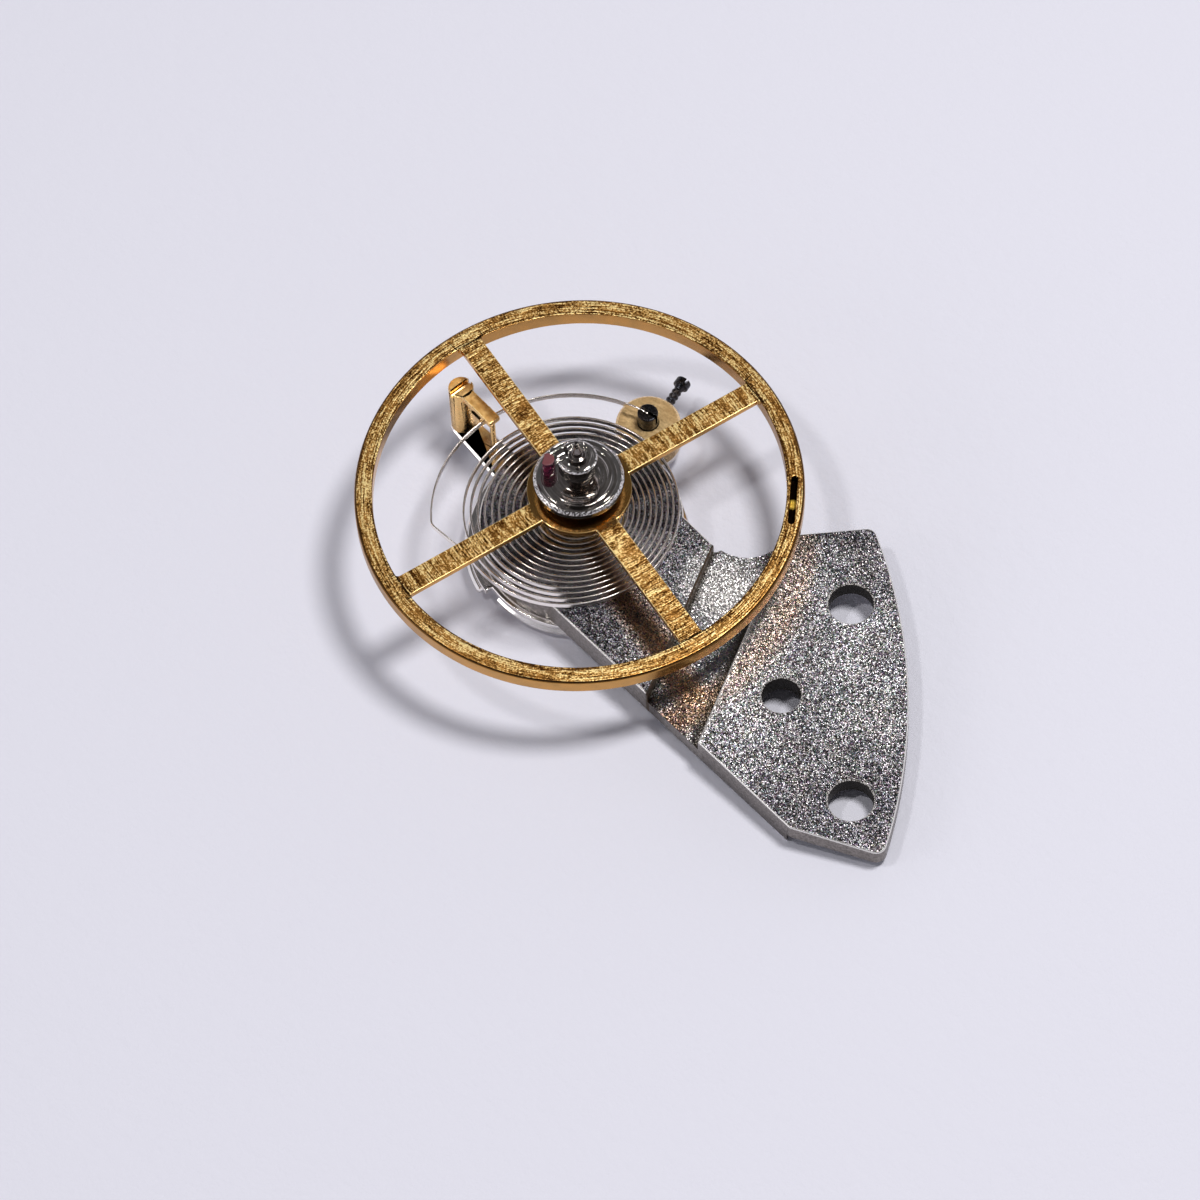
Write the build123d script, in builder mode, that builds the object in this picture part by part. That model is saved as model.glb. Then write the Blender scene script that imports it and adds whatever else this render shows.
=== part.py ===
# Balance complete on its cock, lying with the rollers upwards.
# Millimetres. +Z runs along the balance staff towards its lower pivot.
# +X runs from the staff towards the cock's screw hole. The origin is in the middle of the lower pivot.
import os
from math import atan2, cos, degrees, hypot, radians, sin, sqrt

from build123d import *
from build123d.topology import SkipClean

os.makedirs("parts", exist_ok=True)

# Heights are measured from the top of the rim, and level() carries them to the origin.
pivot_tip_height = 1.76
pivot_length = 0.16
pivot_radius = 0.05
rim_top = pivot_length / 2 - pivot_tip_height

# Balance wheel
rim_radius = 4.70
rim_width = 0.38
rim_height = 0.38
rim_chamfer = 0.04
arm_count = 4
arm_angle = -11.2
arm_width = 0.51
arm_top = 0
arm_thickness = 0.15
arm_fillet = 0.08
hub_radius = 1.10
hub_bottom = -0.15
hub_bore = 0.30
poise_slot_angle = 41.6
poise_slot_length = 1.17
poise_slot_width = 0.13
poise_slot_depth = 0.20

# Cuts that leave a piece run this far past it
cut_margin = 1.0

# Rollers and impulse jewel
roller_radius = 0.95
roller_top = 0.48
roller_bottom = 0.24
roller_chamfer = 0.06
safety_radius = 0.42
safety_top = 1.24
safety_bottom = 0.85
safety_chamfer = 0.04
safety_recess_radius = 0.24
safety_recess_floor = 1.20
sleeve_radius = 0.17
roller_seat = 0.11
crescent_radius = 0.26
crescent_distance = 0.456
jewel_angle = -146.5
jewel_distance = 0.65
jewel_radius = 0.15
jewel_flat = 0.085
jewel_top = 0.92

# Staff
lower_stub_radius = 0.11
lower_stub_top = 1.46
lower_stub_bottom = 1.32
shoulder_radius = 0.18
shoulder_top = 1.30
flange_radius = 0.45
rivet_radius = 0.37
rivet_edge = 0.34
rivet_bottom = -0.21
collet_seat = 0.20
upper_stem_radius = 0.16
upper_stem_top = -1.10
upper_stem_bottom = -1.45
upper_stub_radius = 0.10
upper_stub_bottom = -1.58
upper_pivot_start = -1.66
upper_pivot_end = -1.84

# Collet and hairspring
collet_radius = 0.50
collet_top = -0.62
collet_bottom = -1.04
collet_slot = 0.08
collet_slot_angle = -40
spring_bite = 0.005
spring_thickness = 0.04
spring_height = 0.14
spring_middle = -0.92
spring_half_turns = 27
spring_inner_radius = collet_radius + spring_thickness / 2 - spring_bite
spring_outer_radius = 2.33
spring_lean = 0.20
spring_lean_angle = -142.5
spring_exit_angle = -103
dogleg_turn = 15
dogleg_radius = 0.60
kink_radius = 0.25
terminal_radius = 2.90
terminal_offset = 0.24
terminal_offset_angle = -128

# Stud, its holder and the stud carrier
stud_angle = 105.5
stud_radius = 0.22
stud_top = -0.83
stud_bottom = -1.92
stud_slot = 0.06
stud_slot_depth = 0.30
stud_chamfer = 0.03
holder_radius = 0.69
holder_top = -1.22
holder_chamfer = 0.06
holder_clearance = 0.03
stud_clearance = 0.01
screw_level = -1.63
screw_radius = 0.11
screw_reach = 4.02
screw_head_radius = 0.17
screw_head_length = 0.22
screw_slot = 0.05
ring_bore = 1.35
carrier_top = -1.94
carrier_thickness = 0.15
carrier_radius = 2.25
carrier_wide_radius = 2.42
carrier_gap_angle = -45
carrier_neck = 0.80
ring_gap = 0.35
wide_angle = -101
wide_sweep = -82

# Regulator, boot and curb pin
regulator_top = -2.11
regulator_thickness = 0.18
regulator_radius = 2.28
regulator_wide_radius = 2.50
regulator_gap_angle = -101
regulator_angle = 176.9
regulator_root_width = 0.84
regulator_tip_width = 0.56
boot_distance = 3.90
boot_radius = 0.27
boot_inner_face = 3.13
boot_finger_thickness = 0.18
boot_finger_bottom = -1.25
boot_lip_bottom = -0.82
boot_top = -0.66
boot_lip_reach = 2.78
boot_lip_width = 0.30
boot_slot_width = 0.10
boot_slot_depth = 0.14
boot_shank = 0.18
shank_clearance = 0.02
pin_radius = 0.06
pin_distance = 2.88
pin_top = -0.84

# Cock
cock_top = -1.23
cock_thickness = 0.69
cock_bottom = cock_top - cock_thickness
calibre_centre = (-1.05, -7.33)
calibre_radius = 12.80
ledge_radius = 10.70
ledge_thickness = 0.39
cock_end_radius = 2.15
upper_end_y = 1.57
lower_end_y = -1.90
lower_corner = (8.35, -2.07)
outer_low_x = 10.17
outer_high_x = 4.47
notch_foot = (3.50, 3.02)
arm_corner = (2.44, 1.52)
channel_angle = 25.1
channel_distance = 3.52
channel_width = 1.38
channel_length = 8.60
channel_depth = 0.30
notch_centre = (2.36, 2.56)
notch_radius = 0.90
notch_start_angle = -82
notch_sweep = 72
corner_round = 0.22
foot_axis_angle = 45.3
foot_hole_distance = 11.84
foot_hole_spread = 11.4
foot_hole_radius = 0.475
screw_hole = (6.00, 0.0)
screw_hole_radius = 0.41
screw_head_recess = 0.72
screw_head_depth = 0.22
plate_recess_radius = 4.90

# Shock block, setting and jewels
block_radius = 0.90
boss_radius = 1.33
boss_flange_radius = 1.45
boss_flange_thickness = 0.05
block_bottom = -2.36
block_hole = 0.24
seat_top = -1.60
seat_radius = 0.74
spring_seat = -2.18
spring_seat_radius = 0.98
setting_radius = 0.72
setting_top = -1.60
setting_bottom = -2.06
setting_eye = 0.30
hole_jewel_radius = 0.42
hole_jewel_top = -1.66
hole_jewel_bottom = -1.82
hole_jewel_bore = 0.06
cap_jewel_radius = 0.60
cap_jewel_top = -1.86
cap_jewel_chamfer = 0.06
shock_spring_radius = 0.96
shock_spring_width = 0.14
shock_spring_thickness = 0.06
shock_spring_opening = 0.50
tongue_angles = (60, 120)
tongue_width = 0.13
tongue_end = 0.28


def level(height):
    return rim_top + height


def polar(distance, angle):
    return (distance * cos(radians(angle)), distance * sin(radians(angle)))


def plane_at(height):
    return Plane.XY.offset(level(height))


def turned(profile):
    # A profile of radius and height, carried to the origin, for a turned piece
    return [(radius, level(height)) for radius, height in profile]


# The wheel is one piece: rim, arms and hub, with a slot in the rim where it was poised
with BuildPart() as balance_wheel:
    with BuildSketch(plane_at(-rim_height)):
        Circle(rim_radius)
        Circle(rim_radius - rim_width, mode=Mode.SUBTRACT)
    extrude(amount=rim_height)
    outer_edges = balance_wheel.edges().filter_by(GeomType.CIRCLE).group_by(SortBy.RADIUS)[-1]
    chamfer(outer_edges, rim_chamfer)
    # Each arm runs on across the hub into the arm opposite, and both end inside the rim
    with BuildSketch(plane_at(arm_top - arm_thickness)):
        for arm in range(arm_count // 2):
            Rectangle(2 * rim_radius - rim_width, arm_width, rotation=arm_angle + 360 / arm_count * arm)
    extrude(amount=arm_thickness)
    with BuildSketch(plane_at(hub_bottom)):
        Circle(hub_radius)
    extrude(amount=arm_top - hub_bottom)
    upright_edges = balance_wheel.edges().filter_by(Axis.Z)
    rim_corners = [e for e in upright_edges if hypot(e.center().X, e.center().Y) > rim_radius / 2]
    fillet(rim_corners, arm_fillet)
    with BuildSketch(plane_at(hub_bottom)):
        Circle(hub_bore)
    extrude(amount=arm_top - hub_bottom, mode=Mode.SUBTRACT)
    with BuildSketch(plane_at(0)):
        with Locations(polar(rim_radius - rim_width / 2, poise_slot_angle)):
            SlotOverall(poise_slot_length, poise_slot_width, rotation=poise_slot_angle + 90)
    extrude(amount=-poise_slot_depth, mode=Mode.SUBTRACT)
balance_wheel.part.label = "balance_wheel"
export_step(balance_wheel.part, "parts/balance_wheel.step")

# The staff, from the lower pivot to the upper one
with BuildPart() as balance_staff:
    with BuildSketch(Plane.XZ):
        with BuildLine():
            Polyline(
                turned(
                    [
                        (0, pivot_tip_height),
                        (pivot_radius, pivot_tip_height),
                        (pivot_radius, pivot_tip_height - pivot_length),
                        (lower_stub_radius, lower_stub_top),
                        (lower_stub_radius, lower_stub_bottom),
                        (shoulder_radius, shoulder_top),
                        (shoulder_radius, safety_recess_floor),
                        (roller_seat, safety_recess_floor),
                        (roller_seat, roller_bottom),
                        (flange_radius, roller_bottom),
                        (flange_radius, arm_top),
                        (hub_bore, arm_top),
                        (hub_bore, hub_bottom),
                        (rivet_radius, hub_bottom),
                        (rivet_edge, rivet_bottom),
                        (collet_seat, rivet_bottom),
                        (collet_seat, collet_bottom),
                        (upper_stem_radius, upper_stem_top),
                        (upper_stem_radius, upper_stem_bottom),
                        (upper_stub_radius, upper_stub_bottom),
                        (pivot_radius, upper_pivot_start),
                        (pivot_radius, upper_pivot_end),
                        (0, upper_pivot_end),
                    ]
                ),
                close=True,
            )
        make_face()
    revolve(axis=Axis.Z)
balance_staff.part.label = "balance_staff"
export_step(balance_staff.part, "parts/balance_staff.step")

# The impulse roller carries the jewel in a D-shaped hole
with BuildPart() as impulse_roller:
    with BuildSketch(plane_at(roller_bottom)):
        Circle(roller_radius)
    extrude(amount=roller_top - roller_bottom)
    chamfer(impulse_roller.edges().filter_by(GeomType.CIRCLE), roller_chamfer)
    with BuildSketch(plane_at(roller_bottom)):
        Circle(roller_seat)
        with Locations(polar(jewel_distance, jewel_angle)):
            Circle(jewel_radius)
        with Locations(polar(jewel_distance + jewel_flat + jewel_radius / 2, jewel_angle)):
            Rectangle(jewel_radius, 2 * jewel_radius, rotation=jewel_angle, mode=Mode.SUBTRACT)
    extrude(amount=roller_top - roller_bottom, mode=Mode.SUBTRACT)
impulse_roller.part.label = "impulse_roller"
export_step(impulse_roller.part, "parts/impulse_roller.step")

with BuildPart() as impulse_jewel:
    with BuildSketch(plane_at(roller_bottom)):
        with Locations(polar(jewel_distance, jewel_angle)):
            Circle(jewel_radius)
        with Locations(polar(jewel_distance + jewel_flat + jewel_radius / 2, jewel_angle)):
            Rectangle(jewel_radius, 2 * jewel_radius, rotation=jewel_angle, mode=Mode.SUBTRACT)
    extrude(amount=jewel_top - roller_bottom)
impulse_jewel.part.label = "impulse_jewel"
export_step(impulse_jewel.part, "parts/impulse_jewel.step")

# The safety roller stands on its sleeve. Its crescent is cut on the jewel's side, and the staff's
# shoulder rests in the recess in its top.
with BuildPart() as safety_roller:
    with BuildSketch(plane_at(safety_bottom)):
        Circle(safety_radius)
    extrude(amount=safety_top - safety_bottom)
    chamfer(safety_roller.edges().filter_by(GeomType.CIRCLE), safety_chamfer)
    with BuildSketch(plane_at(safety_bottom)):
        with Locations(polar(crescent_distance, jewel_angle)):
            Circle(crescent_radius)
    extrude(amount=safety_top - safety_bottom, mode=Mode.SUBTRACT)
    with BuildSketch(plane_at(safety_recess_floor)):
        Circle(safety_recess_radius)
    extrude(amount=safety_top - safety_recess_floor, mode=Mode.SUBTRACT)
    with BuildSketch(plane_at(roller_top)):
        Circle(sleeve_radius)
    extrude(amount=safety_bottom - roller_top)
    with BuildSketch(plane_at(roller_top)):
        Circle(roller_seat)
    extrude(amount=safety_top - roller_top, mode=Mode.SUBTRACT)
safety_roller.part.label = "safety_roller"
export_step(safety_roller.part, "parts/safety_roller.step")

# The collet is split so that it grips the staff
with BuildPart() as collet:
    with BuildSketch(plane_at(collet_bottom)):
        Circle(collet_radius)
        Circle(collet_seat, mode=Mode.SUBTRACT)
        with Locations(polar(collet_radius / 2, collet_slot_angle)):
            Rectangle(collet_radius, collet_slot, rotation=collet_slot_angle, mode=Mode.SUBTRACT)
    extrude(amount=collet_top - collet_bottom)
collet.part.label = "collet"
export_step(collet.part, "parts/collet.step")

# The hairspring is one flat strip: half turns that grow, a dogleg, and an arc round the coil. At
# rest its turns lean to one side, because they grow more at one joint of the half turns than at the
# other, and the terminal arc leans the same way.
mean_growth = (spring_outer_radius - spring_inner_radius) / spring_half_turns
lean_growth = spring_lean / (spring_half_turns - 1)
far_angle = spring_lean_angle + 180 * spring_half_turns
last_turn = -((far_angle - spring_exit_angle) % 360)
terminal_centre = Vector(*polar(terminal_offset, terminal_offset_angle), 0)
# The stud stands on the terminal arc, in its own direction from the staff
stud_direction = Vector(*polar(1, stud_angle), 0)
offset_along = terminal_centre.dot(stud_direction)
offset_across = terminal_centre.cross(stud_direction).length
stud_distance = offset_along + sqrt(terminal_radius**2 - offset_across**2)
stud_from_arc = stud_direction * stud_distance - terminal_centre
terminal_end = degrees(atan2(stud_from_arc.Y, stud_from_arc.X))
spring_level = level(spring_middle)
with BuildPart() as hairspring:
    with BuildLine() as coil:
        place = Vector(*polar(spring_inner_radius, spring_lean_angle), spring_level)
        heading = Vector(*polar(1, spring_lean_angle - 90), 0)
        turn_radius = spring_inner_radius
        for half_turn in range(spring_half_turns):
            arc = JernArc(place, heading, turn_radius, -180)
            place = arc @ 1
            heading = arc % 1
            turn_radius += mean_growth + (-1) ** half_turn * lean_growth
        last_arc = JernArc(place, heading, turn_radius, last_turn)
        bend = JernArc(last_arc @ 1, last_arc % 1, dogleg_radius, dogleg_turn)
        place = bend @ 1
        heading = bend % 1
        # The straight stretch ends where an arc of kink_radius meets the terminal arc
        right = Vector(heading.Y, -heading.X, 0)
        kink_base = Vector(place.X, place.Y, 0) + right * kink_radius - terminal_centre
        along = kink_base.dot(heading)
        across = kink_base.dot(kink_base) - (terminal_radius - kink_radius) ** 2
        straight = sqrt(along**2 - across) - along
        stretch = Line(place, place + heading * straight)
        kink_centre = kink_base + heading * straight
        terminal_start = degrees(atan2(kink_centre.Y, kink_centre.X))
        heading_angle = degrees(atan2(heading.Y, heading.X))
        kink_turn = (heading_angle - (terminal_start - 90)) % 360
        kink = JernArc(stretch @ 1, heading, kink_radius, -kink_turn)
        terminal_sweep = (terminal_start - terminal_end) % 360
        terminal = JernArc(kink @ 1, kink % 1, terminal_radius, -terminal_sweep)
    with BuildSketch(Plane(coil.line @ 0, x_dir=(0, 0, 1), z_dir=coil.line % 0)):
        Rectangle(spring_height, spring_thickness)
    sweep(path=coil.line)
hairspring.part.label = "hairspring"
export_step(hairspring.part, "parts/hairspring.step")

spring_path = coil.wires()[0]
spring_length = spring_path.length
section = spring_height * spring_thickness
print("hairspring length", round(spring_length, 2))
volume_ratio = hairspring.part.volume / (section * spring_length)
print("hairspring volume over section times length", round(volume_ratio, 4))
print("stud's distance from the staff", round(stud_distance, 3))

# The least gap of the strip to itself, on points along its middle line. Points nearer to each
# other along the strip than neighbour_length are on the same turn.
point_count = 4000
neighbour_length = 1.2
first_stride = 8
second_stride = 2
points = [spring_path.position_at(step / point_count) for step in range(point_count + 1)]
neighbour_steps = round(point_count * neighbour_length / spring_length)
least = min(
    hypot(points[i].X - points[j].X, points[i].Y - points[j].Y)
    for i in range(0, point_count, first_stride)
    for j in range(i + neighbour_steps, point_count + 1, second_stride)
)
print("least gap of the hairspring to itself", round(least - spring_thickness, 3))

# The stud holds the hairspring's outer end in its slot
with BuildPart() as hairspring_stud:
    with BuildSketch(plane_at(stud_bottom)):
        with Locations(polar(stud_distance, stud_angle)):
            Circle(stud_radius)
    extrude(amount=stud_top - stud_bottom)
    chamfer(hairspring_stud.faces().sort_by(Axis.Z)[-1].edges(), stud_chamfer)
    with BuildSketch(plane_at(stud_top)):
        with Locations(polar(stud_distance, stud_angle)):
            Rectangle(stud_slot, 2 * stud_radius, rotation=terminal_end)
    extrude(amount=-stud_slot_depth, mode=Mode.SUBTRACT)
hairspring_stud.part.label = "hairspring_stud"
export_step(hairspring_stud.part, "parts/hairspring_stud.step")

# A radial plane through the stud carries the screw and its hole
screw_plane = Plane(
    origin=(*polar(stud_distance, stud_angle), level(screw_level)),
    x_dir=(0, 0, 1),
    z_dir=(*polar(1, stud_angle), 0),
)
carrier_bottom = carrier_top - carrier_thickness
with BuildPart() as stud_holder:
    with BuildSketch(plane_at(carrier_top)):
        with Locations(polar(stud_distance, stud_angle)):
            Circle(holder_radius)
            Circle(stud_radius + stud_clearance, mode=Mode.SUBTRACT)
    extrude(amount=holder_top - carrier_top)
    chamfer(stud_holder.faces().sort_by(Axis.Z)[-1].edges().sort_by(SortBy.RADIUS)[-1], holder_chamfer)
    # Its inner side is hollowed, so that it passes the cock's round end
    with BuildSketch(plane_at(carrier_top)):
        Circle(cock_end_radius + holder_clearance)
    extrude(amount=holder_top - carrier_top, mode=Mode.SUBTRACT)
    with BuildSketch(screw_plane.offset(stud_radius)):
        Circle(screw_radius)
    extrude(amount=holder_radius, mode=Mode.SUBTRACT)
stud_holder.part.label = "stud_holder"
export_step(stud_holder.part, "parts/stud_holder.step")

with BuildPart() as stud_screw:
    with BuildSketch(screw_plane.offset(stud_radius)):
        Circle(screw_radius)
    extrude(amount=screw_reach - stud_distance - stud_radius)
    with BuildSketch(screw_plane.offset(screw_reach - stud_distance)):
        Circle(screw_head_radius)
    extrude(amount=screw_head_length)
    with BuildSketch(screw_plane.offset(screw_reach - stud_distance + screw_head_length)):
        Rectangle(2 * screw_head_radius, screw_slot)
    extrude(amount=-screw_head_length / 2, mode=Mode.SUBTRACT)
stud_screw.part.label = "stud_screw"
export_step(stud_screw.part, "parts/stud_screw.step")

# Both rings are split, so that they spring onto the boss, and both are wider on one side
with BuildPart() as stud_carrier:
    with BuildSketch(plane_at(carrier_bottom)):
        Circle(carrier_radius)
        with Locations(polar(stud_distance, stud_angle)):
            Circle(holder_radius)
        with Locations(polar(stud_distance / 2 + ring_bore / 2, stud_angle)):
            Rectangle(stud_distance - ring_bore, carrier_neck, rotation=stud_angle)
        with BuildLine():
            Line((0, 0), polar(carrier_wide_radius, wide_angle))
            CenterArc((0, 0), carrier_wide_radius, wide_angle, wide_sweep)
            Line(polar(carrier_wide_radius, wide_angle + wide_sweep), (0, 0))
        make_face()
        Circle(ring_bore, mode=Mode.SUBTRACT)
        with Locations(polar(carrier_radius, carrier_gap_angle)):
            Rectangle(carrier_radius, ring_gap, rotation=carrier_gap_angle, mode=Mode.SUBTRACT)
    extrude(amount=carrier_thickness)
stud_carrier.part.label = "stud_carrier"
export_step(stud_carrier.part, "parts/stud_carrier.step")

regulator_bottom = regulator_top - regulator_thickness
arm_root = (ring_bore + regulator_radius) / 2
with BuildPart() as regulator:
    with BuildSketch(plane_at(regulator_bottom)):
        Circle(regulator_radius)
        with BuildLine(Plane.XY.rotated((0, 0, regulator_angle))):
            Line((boot_distance, -regulator_tip_width / 2), (arm_root, -regulator_root_width / 2))
            Line((arm_root, -regulator_root_width / 2), (arm_root, regulator_root_width / 2))
            Line((arm_root, regulator_root_width / 2), (boot_distance, regulator_tip_width / 2))
            CenterArc((boot_distance, 0), regulator_tip_width / 2, 90, -180)
        make_face()
        with BuildLine():
            Line((0, 0), polar(regulator_wide_radius, wide_angle))
            CenterArc((0, 0), regulator_wide_radius, wide_angle, wide_sweep)
            Line(polar(regulator_wide_radius, wide_angle + wide_sweep), (0, 0))
        make_face()
        with Locations(polar(boot_distance, regulator_angle)):
            Circle(boot_shank + shank_clearance, mode=Mode.SUBTRACT)
        with Locations(polar(pin_distance, regulator_angle)):
            Circle(pin_radius, mode=Mode.SUBTRACT)
        Circle(ring_bore, mode=Mode.SUBTRACT)
        with Locations(polar(regulator_radius, regulator_gap_angle)):
            Rectangle(regulator_radius, ring_gap, rotation=regulator_gap_angle, mode=Mode.SUBTRACT)
    extrude(amount=regulator_thickness)
regulator.part.label = "regulator"
export_step(regulator.part, "parts/regulator.step")

with BuildPart() as curb_pin:
    with BuildSketch(plane_at(regulator_bottom)):
        with Locations(polar(pin_distance, regulator_angle)):
            Circle(pin_radius)
    extrude(amount=pin_top - regulator_bottom)
curb_pin.part.label = "curb_pin"
export_step(curb_pin.part, "parts/curb_pin.step")

# The boot's post stands outside the hairspring. Its lip closes over the curb pin, and the finger
# under the lip keeps the strip against that pin.
boot_lip_length = boot_distance - boot_lip_reach
with BuildPart() as regulator_boot:
    with BuildSketch(plane_at(regulator_bottom)):
        with Locations(polar(boot_distance, regulator_angle)):
            Circle(boot_shank)
    extrude(amount=regulator_thickness)
    with BuildSketch(plane_at(regulator_top)):
        with Locations(polar(boot_distance, regulator_angle)):
            Circle(boot_radius)
    extrude(amount=boot_top - regulator_top)
    with BuildSketch(plane_at(boot_lip_bottom)):
        with Locations(polar(boot_lip_reach + boot_lip_length / 2, regulator_angle)):
            Rectangle(boot_lip_length, boot_lip_width, rotation=regulator_angle)
    extrude(amount=boot_top - boot_lip_bottom)
    with BuildSketch(plane_at(boot_finger_bottom)):
        with Locations(polar(boot_inner_face + boot_finger_thickness / 2, regulator_angle)):
            Rectangle(boot_finger_thickness, boot_lip_width, rotation=regulator_angle)
    extrude(amount=boot_lip_bottom - boot_finger_bottom)
    with BuildSketch(plane_at(boot_top)):
        with Locations(polar(boot_distance, regulator_angle)):
            Rectangle(boot_slot_width, 2 * boot_radius, rotation=regulator_angle)
    extrude(amount=-boot_slot_depth, mode=Mode.SUBTRACT)
regulator_boot.part.label = "regulator_boot"
export_step(regulator_boot.part, "parts/regulator_boot.step")


# The cock's outer edge follows the calibre's own edge, an arc about the calibre's centre
def on_calibre(point_x):
    offset_x = point_x - calibre_centre[0]
    return (point_x, calibre_centre[1] + sqrt(calibre_radius**2 - offset_x**2))


def calibre_angle(point):
    return degrees(atan2(point[1] - calibre_centre[1], point[0] - calibre_centre[0]))


lower_end = (sqrt(cock_end_radius**2 - lower_end_y**2), lower_end_y)
outer_low = on_calibre(outer_low_x)
outer_high = on_calibre(outer_high_x)
upper_end = (sqrt(cock_end_radius**2 - upper_end_y**2), upper_end_y)
end_start_angle = degrees(atan2(upper_end[1], upper_end[0]))
end_sweep = degrees(atan2(lower_end[1], lower_end[0])) % 360 - end_start_angle
foot_holes = [
    (
        calibre_centre[0] + foot_hole_distance * cos(radians(foot_axis_angle + side * foot_hole_spread)),
        calibre_centre[1] + foot_hole_distance * sin(radians(foot_axis_angle + side * foot_hole_spread)),
    )
    for side in (-1, 1)
]
with BuildPart() as balance_cock:
    with BuildSketch(plane_at(cock_bottom)) as cock_outline:
        with BuildLine():
            CenterArc((0, 0), cock_end_radius, end_start_angle, end_sweep)
            Line(lower_end, lower_corner)
            Line(lower_corner, outer_low)
            CenterArc(
                calibre_centre,
                calibre_radius,
                calibre_angle(outer_low),
                calibre_angle(outer_high) - calibre_angle(outer_low),
            )
            Line(outer_high, notch_foot)
            notch = CenterArc(notch_centre, notch_radius, notch_start_angle, notch_sweep)
            Line(notch_foot, notch @ 1)
            Line(notch @ 0, arm_corner)
            Line(arm_corner, upper_end)
        make_face()
        sketch_corners = cock_outline.vertices()
        far_corners = sketch_corners.group_by(Axis.X)[-1] + sketch_corners.group_by(Axis.Y)[-1]
        fillet(far_corners, corner_round)
    extrude(amount=cock_thickness)
    # The channel crosses the arm on the wheel's side, square to the line from the staff
    with BuildSketch(plane_at(cock_top)):
        with Locations(polar(channel_distance, channel_angle)):
            Rectangle(channel_width, channel_length, rotation=channel_angle)
    extrude(amount=-channel_depth, mode=Mode.SUBTRACT)
    # The foot's outer part is a thinner ledge, stepped on the other side
    with BuildSketch(plane_at(cock_bottom)):
        with Locations(calibre_centre):
            Circle(calibre_radius + cut_margin)
            Circle(ledge_radius, mode=Mode.SUBTRACT)
    extrude(amount=cock_thickness - ledge_thickness, mode=Mode.SUBTRACT)
    with BuildSketch(plane_at(cock_bottom)):
        Circle(block_radius)
        with Locations(screw_hole):
            Circle(screw_hole_radius)
        with Locations(*foot_holes):
            Circle(foot_hole_radius)
    extrude(amount=cock_thickness, mode=Mode.SUBTRACT)
    with BuildSketch(plane_at(cock_bottom)):
        with Locations(screw_hole):
            Circle(screw_head_recess)
    extrude(amount=screw_head_depth, mode=Mode.SUBTRACT)
    # The main plate is recessed under the wheel, so the foot seats only outside an arc about the
    # staff. Inside the arc the same surface is a face of its own, with no step between the two.
    with BuildSketch(plane_at(cock_top)):
        Circle(plate_recess_radius)
        add(cock_outline.sketch_local, mode=Mode.INTERSECT)
        with Locations(polar(channel_distance + channel_width / 2, channel_angle)):
            Rectangle(
                channel_width,
                channel_length,
                rotation=channel_angle,
                align=(Align.MIN, Align.CENTER),
                mode=Mode.INTERSECT,
            )
    with SkipClean():
        extrude(amount=-channel_depth, clean=False)
balance_cock.part.label = "balance_cock"
export_step(balance_cock.part, "parts/balance_cock.step")

# The shock block is pressed into the cock, and its boss carries both rings
with BuildPart() as shock_block:
    with BuildSketch(Plane.XZ):
        with BuildLine():
            Polyline(
                turned(
                    [
                        (block_hole, cock_top),
                        (block_radius, cock_top),
                        (block_radius, cock_bottom),
                        (boss_radius, cock_bottom),
                        (boss_radius, block_bottom + boss_flange_thickness),
                        (boss_flange_radius, block_bottom + boss_flange_thickness),
                        (boss_flange_radius, block_bottom),
                        (spring_seat_radius, block_bottom),
                        (spring_seat_radius, spring_seat),
                        (seat_radius, spring_seat),
                        (seat_radius, seat_top),
                        (block_hole, seat_top),
                    ]
                ),
                close=True,
            )
        make_face()
    revolve(axis=Axis.Z)
shock_block.part.label = "shock_block"
export_step(shock_block.part, "parts/shock_block.step")

with BuildPart() as shock_setting:
    with BuildSketch(Plane.XZ):
        with BuildLine():
            Polyline(
                turned(
                    [
                        (setting_eye, setting_top),
                        (setting_radius, setting_top),
                        (setting_radius, setting_bottom),
                        (cap_jewel_radius, setting_bottom),
                        (cap_jewel_radius, cap_jewel_top),
                        (hole_jewel_radius, cap_jewel_top),
                        (hole_jewel_radius, hole_jewel_top),
                        (setting_eye, hole_jewel_top),
                    ]
                ),
                close=True,
            )
        make_face()
    revolve(axis=Axis.Z)
shock_setting.part.label = "shock_setting"
export_step(shock_setting.part, "parts/shock_setting.step")

with BuildPart() as hole_jewel:
    with BuildSketch(plane_at(hole_jewel_bottom)):
        Circle(hole_jewel_radius)
        Circle(hole_jewel_bore, mode=Mode.SUBTRACT)
    extrude(amount=hole_jewel_top - hole_jewel_bottom)
hole_jewel.part.label = "hole_jewel"
export_step(hole_jewel.part, "parts/hole_jewel.step")

with BuildPart() as cap_jewel:
    with BuildSketch(plane_at(spring_seat)):
        Circle(cap_jewel_radius)
    extrude(amount=cap_jewel_top - spring_seat)
    chamfer(cap_jewel.faces().sort_by(Axis.Z)[0].edges(), cap_jewel_chamfer)
cap_jewel.part.label = "cap_jewel"
export_step(cap_jewel.part, "parts/cap_jewel.step")

# The shock spring is a flat open ring with two tongues that press on the cap jewel
tongue_root = shock_spring_radius - shock_spring_width / 2
with BuildPart() as shock_spring:
    with BuildSketch(plane_at(spring_seat - shock_spring_thickness)):
        Circle(shock_spring_radius)
        Circle(shock_spring_radius - shock_spring_width, mode=Mode.SUBTRACT)
        with Locations((0, -shock_spring_radius)):
            Rectangle(shock_spring_opening, shock_spring_radius, mode=Mode.SUBTRACT)
        for angle in tongue_angles:
            with Locations(polar((tongue_root + tongue_end) / 2, angle)):
                Rectangle(tongue_root - tongue_end, tongue_width, rotation=angle)
    extrude(amount=shock_spring_thickness)
shock_spring.part.label = "shock_spring"
export_step(shock_spring.part, "parts/shock_spring.step")
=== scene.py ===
# A balance complete lying on its cock, rollers upwards, on a pale sheet
from math import acos, asin, atan2, cos, degrees, radians, sin, sqrt, tan

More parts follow.
